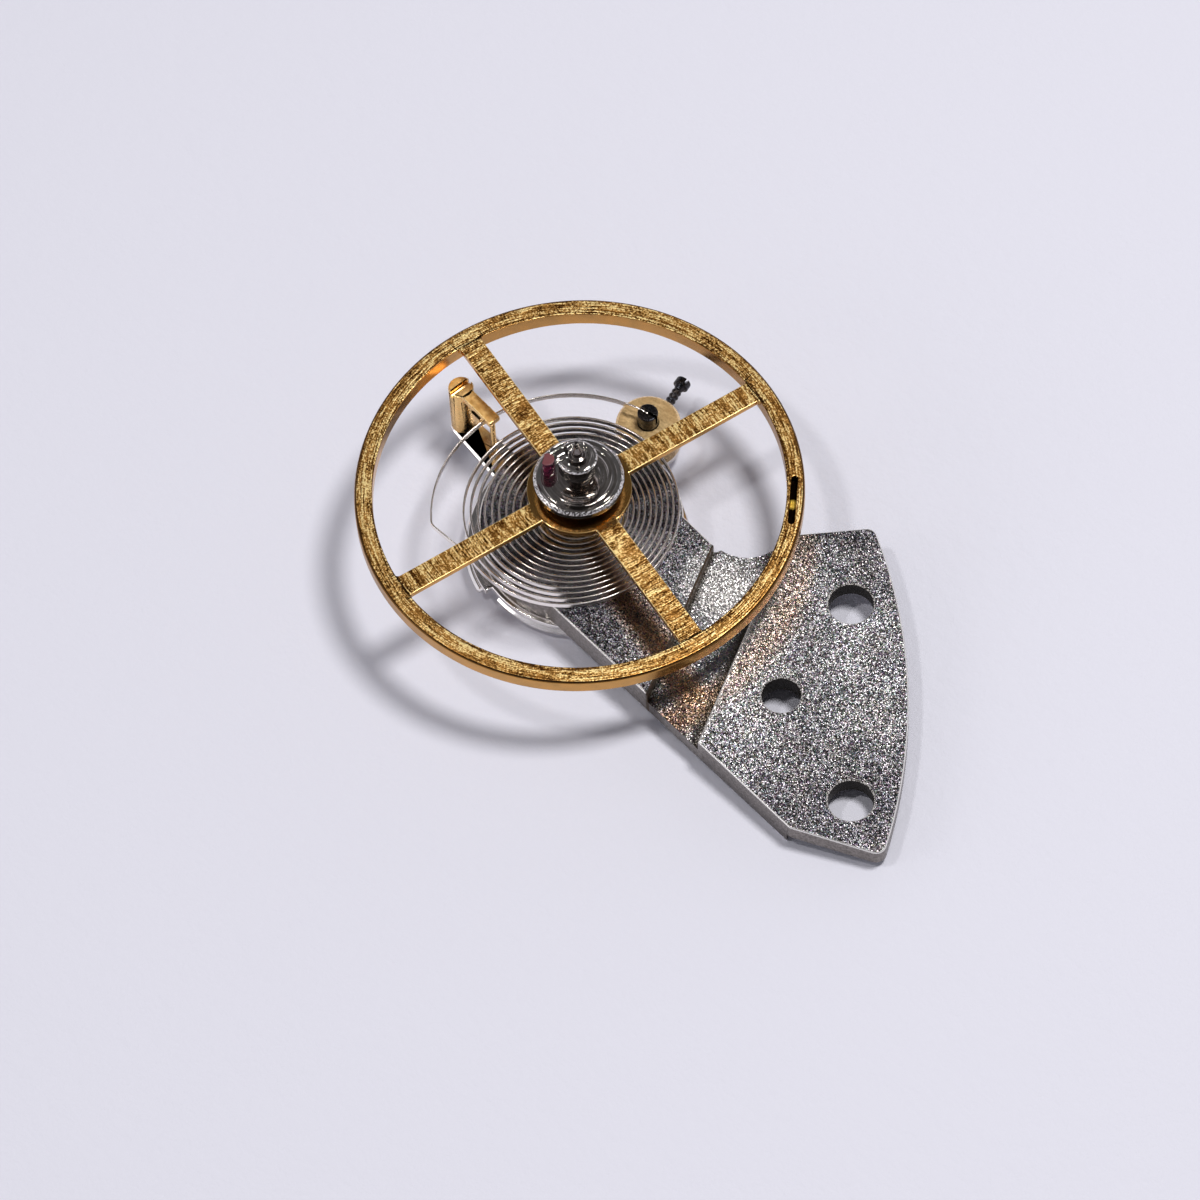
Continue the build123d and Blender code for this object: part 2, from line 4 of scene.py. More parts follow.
import bmesh
import bpy
from mathutils import Matrix, Vector


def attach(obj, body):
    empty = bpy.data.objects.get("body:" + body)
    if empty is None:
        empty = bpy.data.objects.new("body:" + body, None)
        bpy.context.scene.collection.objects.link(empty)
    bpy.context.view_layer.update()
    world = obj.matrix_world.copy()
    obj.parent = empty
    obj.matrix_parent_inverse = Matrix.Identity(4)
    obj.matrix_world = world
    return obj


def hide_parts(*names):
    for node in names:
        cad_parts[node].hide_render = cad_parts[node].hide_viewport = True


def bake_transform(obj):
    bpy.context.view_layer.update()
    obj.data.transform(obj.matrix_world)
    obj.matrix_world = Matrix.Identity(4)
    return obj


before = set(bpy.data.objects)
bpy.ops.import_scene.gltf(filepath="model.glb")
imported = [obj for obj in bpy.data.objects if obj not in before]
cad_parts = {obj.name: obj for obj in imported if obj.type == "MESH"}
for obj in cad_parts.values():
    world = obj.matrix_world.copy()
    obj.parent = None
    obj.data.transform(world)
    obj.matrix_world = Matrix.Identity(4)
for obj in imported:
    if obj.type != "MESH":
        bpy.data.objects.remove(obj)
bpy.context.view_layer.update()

# Pieces are shaped in millimetres with heights from the top of the rim, and
# completePiece carries them to metres and to the origin in the lower pivot.
millimetre = 0.001
rimTop = -1.68
overrun = 1  # how far a cutter runs past the piece that it cuts


# a dictionary whose values are read with a dot
class Settings(dict):
    __getattr__ = dict.__getitem__


def polar(distance, angle):
    return distance * cos(radians(angle)), distance * sin(radians(angle))


# the directions along an angle and across it
def axes(angle):
    return Vector(polar(1, angle)), Vector(polar(1, angle + 90))


def arcPoints(centre, radius, start, sweep, steps):
    spokes = [polar(radius, start + sweep * step / steps) for step in range(steps + 1)]
    return [(centre[0] + x, centre[1] + y) for x, y in spokes]


def disc(radius, steps=96, centre=(0, 0)):
    return arcPoints(centre, radius, 0, 360, steps)[:-1]


# a sector of a disc about the staff
def sector(radius, start, sweep):
    return [(0, 0)] + arcPoints((0, 0), radius, start, sweep, 64)


# a rectangle whose first side runs along the direction of angle
def block(centre, length, width, angle):
    along, across = axes(angle)
    corners = ((-0.5, -0.5), (0.5, -0.5), (0.5, 0.5), (-0.5, 0.5))
    return [tuple(Vector(centre) + along * length * a + across * width * b) for a, b in corners]


# a rectangle at this distance from the staff, with its length pointing away from it
def spoke(distance, length, width, angle):
    return block(polar(distance, angle), length, width, angle)


# the section of a turned ring as (radius, height), going from first to last at its outer side
def band(inner, outer, first, last, chamfer=0):
    if not chamfer:
        return [(inner, first), (outer, first), (outer, last), (inner, last)]
    drop = chamfer if last > first else -chamfer
    outside = [(outer - chamfer, first), (outer, first + drop), (outer, last - drop), (outer - chamfer, last)]
    return [(inner, first)] + outside + [(inner, last)]


# Rounds the corners of a closed outline, apart from those on the staff's axis.
# radii holds one value for each point, or one for all.
def eased(points, radii, steps=4):
    if not isinstance(radii, (list, tuple)):
        radii = [radii] * len(points)
    made = []
    for index, radius in enumerate(radii):
        here = Vector(points[index])
        before = Vector(points[index - 1]) - here
        after = Vector(points[(index + 1) % len(points)]) - here
        if radius <= 0 or abs(here.x) < 1e-9:
            made.append(tuple(here))
            continue
        half = before.angle(after) / 2
        leg = min(radius / tan(half), before.length * 0.45, after.length * 0.45)
        bisector = (before.normalized() + after.normalized()).normalized()
        centre = here + bisector * leg / cos(half)
        first = here + before.normalized() * leg - centre
        last = here + after.normalized() * leg - centre
        # slerp gives a direction only
        spokes = [first.slerp(last, step / steps) * first.length for step in range(steps + 1)]
        made += [tuple(centre + spoke) for spoke in spokes]
    return made


# the outline moved inwards; it runs anticlockwise
def inset(outline, amount):
    made = []
    for index, point in enumerate(outline):
        here = Vector(point)
        before = (here - Vector(outline[index - 1])).normalized()
        after = (Vector(outline[(index + 1) % len(outline)]) - here).normalized()
        inward = Vector((-before.y - after.y, before.x + after.x)).normalized()
        across = max(0.3, inward.dot(Vector((-after.y, after.x))))
        made.append(tuple(here + inward * amount / across))
    return made


def addObject(name, data):
    made = bpy.data.objects.new(name, data)
    bpy.context.scene.collection.objects.link(made)
    return made


def rawObject(name, shape):
    bmesh.ops.recalc_face_normals(shape, faces=shape.faces)
    mesh = bpy.data.meshes.new(name)
    shape.to_mesh(mesh)
    shape.free()
    return addObject(name, mesh)


# a closed piece through rings of points
def loft(rings):
    shape = bmesh.new()
    made = [[shape.verts.new(point) for point in ring] for ring in rings]
    shape.faces.new(made[0])
    shape.faces.new(made[-1])
    for low, high in zip(made, made[1:]):
        for index in range(len(low)):
            after = (index + 1) % len(low)
            shape.faces.new((low[index], low[after], high[after], high[index]))
    return rawObject("loft", shape)


def prism(outline, bottom, top):
    return loft([[(x, y, height) for x, y in outline] for height in (bottom, top)])


# a flat piece with its upper and lower edges rounded
def slab(outline, bottom, top, edge, steps=3):
    rings = []
    for step in range(steps + 1):
        turn = radians(90 * step / steps)
        rings.append((inset(outline, edge * (1 - cos(turn))), edge * (1 - sin(turn))))
    levels = [(ring, bottom + drop) for ring, drop in rings[::-1]]
    levels += [(ring, top - drop) for ring, drop in rings]
    return loft([[(x, y, height) for x, y in ring] for ring, height in levels])


# a turned piece from a closed outline of (radius, height)
def turned(outline, steps=192, centre=(0, 0)):
    shape = bmesh.new()
    rings = []
    for radius, height in outline:
        count = steps if radius > 1e-6 else 1
        spots = [polar(radius, 360 * step / steps) for step in range(count)]
        rings.append([shape.verts.new((centre[0] + x, centre[1] + y, height)) for x, y in spots])
    for here, there in zip(rings, rings[1:] + rings[:1]):
        for step in range(steps):
            after = (step + 1) % steps
            loop = [here[step % len(here)], here[after % len(here)]]
            loop += [there[after % len(there)], there[step % len(there)]]
            loop = list(dict.fromkeys(loop))
            if len(loop) > 2:
                shape.faces.new(loop)
    return rawObject("turned", shape)


def settle(raw):
    graph = bpy.context.evaluated_depsgraph_get()
    mesh = bpy.data.meshes.new_from_object(raw.evaluated_get(graph))
    raw.modifiers.clear()
    raw.data = mesh


def carve(raw, tool, operation="DIFFERENCE"):
    cut = raw.modifiers.new("carve", "BOOLEAN")
    cut.object, cut.operation, cut.solver = tool, operation, "EXACT"
    settle(raw)
    bpy.data.objects.remove(tool)


# adds a prism to a piece
def weld(raw, outline, bottom, top):
    carve(raw, prism(outline, bottom, top), "UNION")


# cuts a hole through a piece that reaches from bottom to top
def pierce(raw, outline, bottom, top):
    carve(raw, prism(outline, bottom - overrun, top + overrun))


# adds edges across a piece at these levels of Y
def crossCut(raw, levels):
    shape = bmesh.new()
    shape.from_mesh(raw.data)
    for level in levels:
        everything = shape.verts[:] + shape.edges[:] + shape.faces[:]
        bmesh.ops.bisect_plane(shape, geom=everything, plane_co=(0, level, 0), plane_no=(0, 1, 0))
    shape.to_mesh(raw.data)
    shape.free()


# breaks the edges, sets the normals, scales, and hands the piece to its body
def completePiece(raw, name, body, material, slot, edge=0, rings=2, node=None):
    for face in raw.data.polygons:
        face.use_smooth = True
    if edge:
        bevel = raw.modifiers.new("edge", "BEVEL")
        bevel.width, bevel.segments = edge, rings
        bevel.limit_method, bevel.angle_limit = "ANGLE", radians(32)
        bevel.use_clamp_overlap = False
        settle(raw)
    raw.data.set_sharp_from_angle(angle=radians(40))
    normals = raw.modifiers.new("normals", "WEIGHTED_NORMAL")
    normals.keep_sharp = True
    settle(raw)
    raw.data.transform(Matrix.Scale(millimetre, 4) @ Matrix.Translation((0, 0, rimTop)))
    raw.name = raw.data.name = name
    raw.data.materials.clear()
    raw.data.materials.append(material)
    if body:
        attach(raw, body)
    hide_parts(node or name)


# completes the pieces of one body, each as (raw, name, material, slot, edge, node)
def completePieces(body, made):
    for raw, name, material, slot, edge, node in made:
        completePiece(raw, name, body, material, slot, edge, node=node)


# a socket in a sum
class Term:
    def __init__(self, finish, socket):
        self.finish, self.socket = finish, socket

    def __add__(self, other):
        return self.finish.sum("ADD", self, other)

    def __sub__(self, other):
        return self.finish.sum("SUBTRACT", self, other)

    def __rsub__(self, other):
        return self.finish.sum("SUBTRACT", other, self)

    def __mul__(self, other):
        return self.finish.sum("MULTIPLY", self, other)

    def __pow__(self, other):
        return self.finish.sum("POWER", self, other)

    __radd__ = __add__
    __rmul__ = __mul__

    # goes from 0 at low to 1 at high, and low may be the larger
    def span(self, low, high):
        return self.finish.node("MapRange", None, {"Value": self, "From Min": low, "From Max": high})

    # this colour blended with another by a share
    def toward(self, share, other, mode="MIX"):
        return self.finish.blend(share, self, other, mode)


# the node tree of a material or a world
class Finish:
    def __init__(self, owner):
        owner.use_nodes = True
        self.owner, self.tree = owner, owner.node_tree
        self.tree.nodes.clear()

    def node(self, kind, settings=None, sockets=None, output=0):
        made = self.tree.nodes.new("ShaderNode" + kind)
        for key, value in (settings or {}).items():
            setattr(made, key, value)
        for key, value in (sockets or {}).items():
            if isinstance(value, Term):
                self.tree.links.new(value.socket, made.inputs[key])
            else:
                made.inputs[key].default_value = value
        return Term(self, made.outputs[output]) if len(made.outputs) else None

    def sum(self, operation, *parts):
        return self.node("Math", {"operation": operation}, dict(enumerate(parts)))

    def vector(self, operation, *parts, **named):
        output = "Value" if operation in ("LENGTH", "DISTANCE") else "Vector"
        sockets = dict(enumerate(parts)) | named
        return self.node("VectorMath", {"operation": operation}, sockets, output)

    # place on the piece in millimetres, in the frame that the piece rides in
    def place(self):
        return self.vector("SCALE", self.node("TexCoord", output="Object"), Scale=1000)

    def split(self, spot):
        return [self.node("SeparateXYZ", None, {0: spot}, axis) for axis in "XYZ"]

    def join(self, x, y, z=0.0):
        return self.node("CombineXYZ", None, {"X": x, "Y": y, "Z": z})

    # distance from the staff and angle about it
    def around(self, x, y):
        return (x * x + y * y) ** 0.5, self.sum("ARCTAN2", y, x)

    # the surface's direction and its upright part
    def facing(self):
        normal = self.node("NewGeometry", output="Normal")
        return normal, self.split(normal)[2]

    def noise(self, spot, scale, detail=2.0, roughness=0.5):
        sockets = {"Vector": spot, "Scale": scale, "Detail": detail, "Roughness": roughness}
        return self.node("TexNoise", None, sockets, "Fac")

    def cells(self, spot, scale):
        return self.node("TexVoronoi", None, {"Vector": spot, "Scale": scale}, "Color")

    def blend(self, factor, first, second, mode="MIX"):
        settings = {"data_type": "RGBA", "blend_type": mode, "clamp_factor": True}
        ends = [colour if isinstance(colour, Term) else (*colour, 1) for colour in (first, second)]
        return self.node("Mix", settings, {0: factor, 6: ends[0], 7: ends[1]}, 2)

    def bump(self, height, depth):
        return self.node("Bump", None, {"Height": height, "Distance": depth * millimetre, "Strength": 1})

    def shader(self, sockets):
        self.node("OutputMaterial", None, {"Surface": self.node("BsdfPrincipled", None, sockets)})
        return self.owner


def newFinish(name):
    return Finish(bpy.data.materials.new(name))


# gilt brass: short turned strokes about the staff over a grain with painted glints, smoother walls, rounded
# edges painted bright as highlights, and on the rim painted dark lines as shade
def giltFinish(name, look):
    finish = newFinish(name)
    spot = finish.place()
    x, y, z = finish.split(spot)
    radius, angle = finish.around(x, y)
    upright = finish.facing()[1]
    level = upright * upright
    flat = level.span(0.8, 0.96)
    paintedEdge = level.span(0.08, 0.25) * level.span(0.97, 0.85)
    smooth = radius.span(look.smoothRadius + 0.05, look.smoothRadius - 0.05)
    strokes = finish.join(radius * look.fineLines, angle * look.strokes, z * look.fineLines * 0.3)
    fine = finish.noise(strokes, 1, 2, 0.6)
    bands = finish.noise(finish.join(radius * look.bands, angle * 2, z * 2), 1, 1)
    grain = finish.noise(spot, look.grain, 1, 0.6)
    patch = finish.noise(spot, 2.4, 2)
    lines = fine * 0.52 + bands * 0.13 + grain * 0.35
    middle, spread = look.middle, look.spread
    tone = lines.span(middle - spread, middle + spread)
    tone = tone * flat + (1 - flat) * (0.45 + patch * 0.5)
    tone = tone * (1 - smooth) + smooth * 0.75
    # painted glints: the brightest strokes on flat faces take the bright edge colour
    glint = lines.span(middle + spread * 0.75, middle + spread * 1.3)
    colour = finish.blend(tone, look.dark, look.light)
    colour = colour.toward(patch.span(0.42, 0.65) * look.warmth, look.warm)
    colour = colour.toward(glint * flat * (1 - smooth) * look.glints, look.edge)
    edge, onRim = look.edge, 0
    # on the rim, painted shade: a dark line along the inner edge, and dark rounded edges
    if "rimFrom" in look:
        rimFrom = look.rimFrom
        onRim = radius.span(rimFrom - 0.1, rimFrom)
        innerEdgeShade = onRim * radius.span(rimFrom + 0.13, rimFrom + 0.05)
        colour = colour.toward(innerEdgeShade * lines.span(0.58, 0.46) * flat, look.rimEdge)
        edge = finish.blend(onRim, edge, look.rimEdge)
    # painted highlights on the rounded edges, painted shade on the rim's
    colour = colour.toward(paintedEdge * look.wear, edge)
    # the poising slot painted dark as shade inside, with a painted patch of light in its middle
    if "slotMiddle" in look:
        inner, outer = look.slotReach
        top, floor = look.slotHeights
        inSlot = radius.span(inner, inner + 0.02) * radius.span(outer, outer - 0.02)
        inSlot = inSlot * z.span(top, top - 0.02) * z.span(floor - 0.04, floor - 0.02)
        offMiddle = finish.vector("DISTANCE", finish.join(x, y), (*look.slotMiddle, 0))
        inside = finish.blend(offMiddle.span(0.06, 0.13), look.lit, look.soot)
        colour = colour.toward(inSlot, inside)
    rough = look.roughness + grain.span(0.35, 0.65) * 0.1
    return finish.shader({
        "Base Color": colour,
        "Metallic": 1 - paintedEdge * (1 - onRim) * 0.35,
        "Roughness": rough * (1 - smooth * 0.6) * (0.6 + flat * 0.4),
        "Normal": finish.bump(lines * flat * (1 - smooth), look.depth),
    })


# polished steel: a mirror with a few turned rings, upright walls in a painted tone of their own (painted
# shade where darker, painted light where paler), and painted glints on slanted edges
def polishedFinish(name, look):
    finish = newFinish(name)
    spot = finish.place()
    x, y, z = finish.split(spot)
    radius, angle = finish.around(x, y)
    rings = finish.noise(finish.join(radius * look.rings, angle * 0.6, z), 1, 1)
    haze = finish.noise(spot, 4, 3)
    speck = finish.noise(spot, 30, 1, 0.6)
    upright = finish.facing()[1]
    level = upright * upright
    slanted = level.span(0.96, 0.85) * level.span(0.06, 0.25) * look.glitter
    colour = finish.blend(haze.span(0.3, 0.7), look.dark, look.light)
    colour = colour.toward(rings.span(0.4, 0.65) * look.ringShade, look.bright)
    # upright walls take a painted tone of their own: painted shade where it is darker than the top, painted
    # light where it is paler
    colour = colour.toward(level.span(0.3, 0.1), look.wall)
    # painted glints: specks of the bright colour on slanted edges
    glint = speck.span(0.44, 0.56)
    colour = colour.toward(slanted, finish.blend(glint, look.wall, look.bright))
    relief = rings.span(0.56, 0.66) * look.depth + slanted * speck * 0.006
    return finish.shader({
        "Base Color": colour,
        "Metallic": look.get("metal", 1),
        "Specular IOR Level": look.get("gloss", 0.5),
        "Roughness": look.roughness + haze.span(0.4, 0.8) * 0.05 + slanted * 0.16,
        "Normal": finish.bump(relief, 1),
    })


# nickel-plated brass blasted with fine grit: each grain has its own grey and leans its own way,
# the walls are smoother and painted darker as shade, and the rounded edges are painted bright as highlights
def blastedFinish(name, look):
    finish = newFinish(name)
    spot = finish.place()
    facing, upright = finish.facing()
    level = upright * upright
    flat = level.span(0.75, 0.95)
    paintedEdge = level.span(0.04, 0.2) * level.span(0.95, 0.75)
    cell = finish.cells(spot, look.grain)
    red, green, blue = finish.split(cell)
    clump = finish.noise(spot, look.grain * 0.3, 2, 0.7)
    clumped = clump.span(0.3, 0.7)
    lean = finish.vector("SUBTRACT", cell, (0.5, 0.5, 0.5))
    leaning = finish.vector("SCALE", lean, Scale=flat * look.tilt + look.sideTilt)
    tone = red**1.7 * 0.75 + clump.span(0.35, 0.7) * 0.35
    # a painted pool of light: the tone is evened and lightened near its centre, and painted shade grows
    # further off
    offLitPool = finish.vector("DISTANCE", spot, (*look.paleCentre, 0))
    calm = offLitPool.span(look.calmFrom, 1.2) * look.calm
    tone = tone * (1 - calm) + calm * look.calmTone
    colour = finish.blend(tone, look.dark, look.light)
    colour = colour.toward(flat * look.tint, finish.cells(spot, look.grain * 0.9), "OVERLAY")

    # tarnish clouds and stains, painted shade round the pool of light, and painted shade at the end under the
    # hairspring
    x, y = finish.split(spot)[:2]
    across, along = polar(1, look.channelAngle)
    far, near = look.channelFar, look.channelNear
    reach = x * across + y * along
    shades = [
        (finish.noise(spot, 0.55, 2, 0.6).span(0.36, 0.62) * 0.7, look.shade),
        (offLitPool.span(*look.paleReach), look.shade),
        (finish.noise(spot, 1.3, 2).span(0.45, 0.7) * 0.5, look.warm),
        # painted shade at the end under the hairspring, where the rings and the spring stand over it
        (reach.span(near, near - 0.4) * 0.35, look.shade),
    ]
    for share, shade in shades:
        colour = colour.toward(share, shade, "MULTIPLY")

    # a painted reflection of the rim and the arm above, shifted a little towards the near side
    mirrorX, mirrorY = look.mirrorShift
    mirrorRadius = finish.vector("LENGTH", finish.join(x - mirrorX, y - mirrorY))
    rimMirror = mirrorRadius.span(4.1, 4.4) * mirrorRadius.span(5.05, 4.72)
    armX, armY = polar(1, look.armAngle)
    offArm = finish.sum("ABSOLUTE", (y - mirrorY) * armX - (x - mirrorX) * armY)
    armMirror = offArm.span(0.48, 0.16) * mirrorRadius.span(4.4, 4.2)
    channelled = reach.span(far + 0.05, far - 0.05)
    mirror = (rimMirror * (0.42 + channelled * 0.5) + armMirror) * clump.span(0.2, 0.55)
    colour = colour.toward(mirror * flat, look.mirrored, "MULTIPLY")
    # a painted highlight: a soft pale spot
    offGleam = finish.vector("DISTANCE", finish.join(x, y), (*look.gleamAt, 0))
    colour = colour.toward(offGleam.span(1.1, 0.35) * 0.5, look.gleam)

    # painted shade on the walls, painted highlights on the rounded edges, and painted shadow in the channel's
    # corners
    # painted shade on the walls: darker than the top, lighter in random clumps
    colour = colour.toward(1 - flat, finish.blend(clumped, look.side, look.sideLight))
    # painted highlights on the rounded edges
    colour = colour.toward(paintedEdge * 0.8, look.edge)
    ragged = reach + clump * 0.05
    # painted shadow in the channel's corners, where its walls shade the floor
    corner = ragged.span(far - 0.28, far - 0.1) * reach.span(far + 0.02, far)
    corner = corner + ragged.span(near + 0.13, near + 0.05) * reach.span(near - 0.03, near)
    colour = colour.toward(corner * 0.85 * flat, look.dirt)
    # the channel's near wall painted dark as shade, brown in clumps, and made less metallic
    besides = reach.span(near - 0.06, near - 0.03) * reach.span(near + 0.05, near + 0.03)
    shadedNearWall = besides * (1 - flat)
    colour = colour.toward(shadedNearWall, finish.blend(clumped, look.dirt, look.oil))
    # a painted highlight along the channel's far lip
    lip = reach.span(far, far + 0.03) * ragged.span(far + 0.14, far + 0.05)
    glint = green.span(0.8, 0.95) * flat
    return finish.shader({
        "Base Color": colour.toward(lip * 0.55 * flat, look.edge),
        "Metallic": 1 - shadedNearWall - paintedEdge * 0.4 * (1 - shadedNearWall),
        "Specular IOR Level": 0.1,
        "Roughness": look.roughness + blue * 0.14 - glint * 0.1 - paintedEdge * 0.08,
        "Normal": finish.vector("NORMALIZE", finish.vector("ADD", facing, leaning)),
    })


# heat-darkened steel, clouded and lightly scratched
def darkSteelFinish(name, look):
    finish = newFinish(name)
    spot = finish.place()
    cloud = finish.noise(spot, 5, 3)
    scratch = finish.noise(spot, 38, 2)
    return finish.shader({
        "Base Color": finish.blend(cloud.span(0.35, 0.65), look.dark, look.light),
        "Metallic": 1,
        "Roughness": look.roughness + scratch.span(0.4, 0.7) * 0.15,
        "Normal": finish.bump(scratch, look.depth),
    })


# ruby: clear deep red, ground matt on its upper end
def rubyFinish(name, look):
    finish = newFinish(name)
    ground = finish.facing()[1].span(0.7, 0.95)
    cloud = finish.noise(finish.place(), 9, 2)
    colour = finish.blend(cloud.span(0.35, 0.7), look.deep, look.body)
    return finish.shader({
        "Base Color": colour.toward(ground, look.end),
        "Roughness": 0.06 + ground * 0.4 + cloud.span(0.4, 0.8) * 0.05,
        "IOR": 1.77,
        "Transmission Weight": look.clarity,
        "Normal": finish.bump(cloud, 0.002),
    })


gilt = giltFinish("giltTurned", Settings(
    fineLines=31, strokes=7, bands=6.5, grain=27,
    middle=0.495, spread=0.058, smoothRadius=1.15, glints=1,
    dark=(0.065, 0.02, 0.003), light=(0.79, 0.435, 0.125),
    warm=(0.66, 0.3, 0.065), warmth=0.35,
    edge=(1, 0.78, 0.36), wear=0.9, rimFrom=4.3, rimEdge=(0.06, 0.024, 0.007),
    slotMiddle=polar(4.46, 41.6), slotReach=(4.36, 4.56),
    slotHeights=(rimTop - 0.025, rimTop - 0.2),
    lit=(1, 0.66, 0.1), soot=(0.004, 0.002, 0.001),
    roughness=0.34, depth=0.014,
))
giltPolished = giltFinish("giltPolished", Settings(
    fineLines=6, strokes=3, bands=2, grain=12,
    middle=0.44, spread=0.15, smoothRadius=-1, glints=0,
    dark=(0.7, 0.36, 0.08), light=(1, 0.7, 0.3),
    warm=(0.95, 0.48, 0.14), warmth=0.3,
    edge=(1, 0.85, 0.5), wear=0.5,
    roughness=0.38, depth=0.002,
))
giltMatt = giltFinish("giltMatt", Settings(
    fineLines=12, strokes=8, bands=2, grain=20,
    middle=0.47, spread=0.14, smoothRadius=-1, glints=0.3,
    dark=(0.38, 0.24, 0.1), light=(0.72, 0.52, 0.27),
    warm=(0.62, 0.38, 0.17), warmth=0.3,
    edge=(0.9, 0.66, 0.36), wear=0.5,
    roughness=0.4, depth=0.004,
))
turnedBrass = giltFinish("brassTurned", Settings(
    fineLines=14, strokes=2, bands=5, grain=18,
    middle=0.49, spread=0.1, smoothRadius=-1, glints=0.4,
    dark=(0.34, 0.22, 0.09), light=(0.86, 0.66, 0.38),
    warm=(0.7, 0.46, 0.22), warmth=0.3,
    edge=(0.95, 0.78, 0.5), wear=0.5,
    roughness=0.32, depth=0.006,
))
blackPolished = polishedFinish("steelBlackPolished", Settings(
    rings=17, ringShade=0.35, glitter=1, roughness=0.08, depth=0.006,
    dark=(0.34, 0.3, 0.27), light=(0.56, 0.5, 0.45),
    bright=(0.9, 0.87, 0.85), wall=(0.11, 0.1, 0.09),
))
staffSteel = polishedFinish("steelBurnished", Settings(
    rings=17, ringShade=0.2, glitter=0.25, roughness=0.07, depth=0,
    dark=(0.12, 0.1, 0.09), light=(0.26, 0.22, 0.2),
    bright=(0.7, 0.66, 0.64), wall=(0.1, 0.085, 0.075),
))
ringSteel = polishedFinish("steelPolished", Settings(
    rings=8, ringShade=0.3, glitter=0.1, roughness=0.11, depth=0.001,
    dark=(0.74, 0.7, 0.67), light=(0.92, 0.88, 0.85),
    bright=(0.92, 0.9, 0.88), wall=(0.88, 0.85, 0.82),
))
springSteel = polishedFinish("springStrip", Settings(
    rings=0.5, ringShade=0, glitter=0, roughness=0.2, depth=0,
    dark=(0.62, 0.57, 0.53), light=(0.86, 0.81, 0.77),
    bright=(0.96, 0.94, 0.92), wall=(0.9, 0.85, 0.81),
))
# hole walls: the whole finish is painted dark as the shade inside the holes
shadedBoreNickel = polishedFinish("nickelBoredShaded", Settings(
    rings=3, ringShade=0.2, glitter=0.8, roughness=0.4, depth=0,
    metal=0, gloss=0.08,
    dark=(0.05, 0.045, 0.04), light=(0.12, 0.105, 0.095),
    bright=(0.75, 0.72, 0.7), wall=(0.017, 0.013, 0.01),
))
blasted = blastedFinish("nickelBlasted", Settings(
    grain=52, tint=0.34, roughness=0.28, tilt=0.34, sideTilt=0.05,
    calmFrom=3.8, calm=0.45, calmTone=0.8, paleCentre=(4.98, 0.74), paleReach=(2.1, 4.7),
    dark=(0.022, 0.024, 0.028), light=(0.98, 0.97, 0.98),
    shade=(0.37, 0.36, 0.38), warm=(0.88, 0.82, 0.74),
    mirrored=(1.3, 0.82, 0.48), mirrorShift=(0.45, -0.39), armAngle=-11.2,
    gleamAt=(3.25, 1), gleam=(0.98, 0.94, 0.91),
    channelAngle=25.1, channelNear=2.83, channelFar=4.21,
    dirt=(0.035, 0.028, 0.02), oil=(0.095, 0.06, 0.038),
    side=(0.13, 0.115, 0.105), sideLight=(0.3, 0.27, 0.25), edge=(0.92, 0.9, 0.88),
))
darkSteel = darkSteelFinish("steelDark", Settings(
    dark=(0.03, 0.032, 0.04), light=(0.055, 0.045, 0.04), roughness=0.2, depth=0.004,
))
ruby = rubyFinish("ruby", Settings(
    deep=(0.05, 0.002, 0.03), body=(0.24, 0.004, 0.05),
    end=(0.22, 0.004, 0.014), clarity=0.45,
))
print("finishes made")

# Balance wheel
wheel = Settings(
    rimRadius=4.7, rimWidth=0.38, rimHeight=0.38, rimChamfer=0.04,
    armCount=4, armAngle=-11.2, armWidth=0.51, armTop=0, armThickness=0.15, armFillet=0.08,
    hubRadius=1.1, hubBottom=-0.15, hubBore=0.3,
    slotAngle=41.6, slotRadius=4.46, slotLength=1.17, slotWidth=0.13, slotDepth=0.2,
    edge=0.022,
)


# one arm and the arm opposite, both widening into the rim, as an outline about the staff
def armOutline(size, angle):
    inner = size.rimRadius - size.rimWidth
    half, fillet = size.armWidth / 2, size.armFillet
    corner = sqrt(inner**2 - half**2)
    quarter = arcPoints((corner - fillet, half + fillet), fillet, 270, 90, 6)
    quarter.append((size.rimRadius - size.rimWidth / 2, half + fillet))
    outline = quarter + [(x, -y) for x, y in quarter[::-1]]
    outline += [(-x, -y) for x, y in outline]
    along, across = axes(angle)
    return [tuple(along * x + across * y) for x, y in outline]


def makeWheel(size):
    outer, armTop, hubBottom = size.rimRadius, size.armTop, size.hubBottom
    rim = turned(band(outer - size.rimWidth, outer, 0, -size.rimHeight, size.rimChamfer), 288)
    hub = turned(band(0, size.hubRadius, armTop, hubBottom), 144)
    for turn in range(size.armCount // 2):
        outline = armOutline(size, size.armAngle + 360 / size.armCount * turn)
        weld(hub, outline, armTop - size.armThickness, armTop)
    carve(rim, hub, "UNION")
    pierce(rim, disc(size.hubBore, 72), hubBottom, armTop)
    middle, angle = Vector(polar(size.slotRadius, size.slotAngle)), size.slotAngle
    toEnd = axes(angle)[1] * (size.slotLength - size.slotWidth) / 2
    slot = arcPoints(middle + toEnd, size.slotWidth / 2, angle, 180, 12)
    slot += arcPoints(middle - toEnd, size.slotWidth / 2, angle + 180, 180, 12)
    carve(rim, prism(slot, -size.slotDepth, overrun / 2))
    completePiece(rim, "balanceWheelTurned", "balance", gilt, "gilt", size.edge, 2, "balance_wheel")


makeWheel(wheel)
print("balance wheel made")

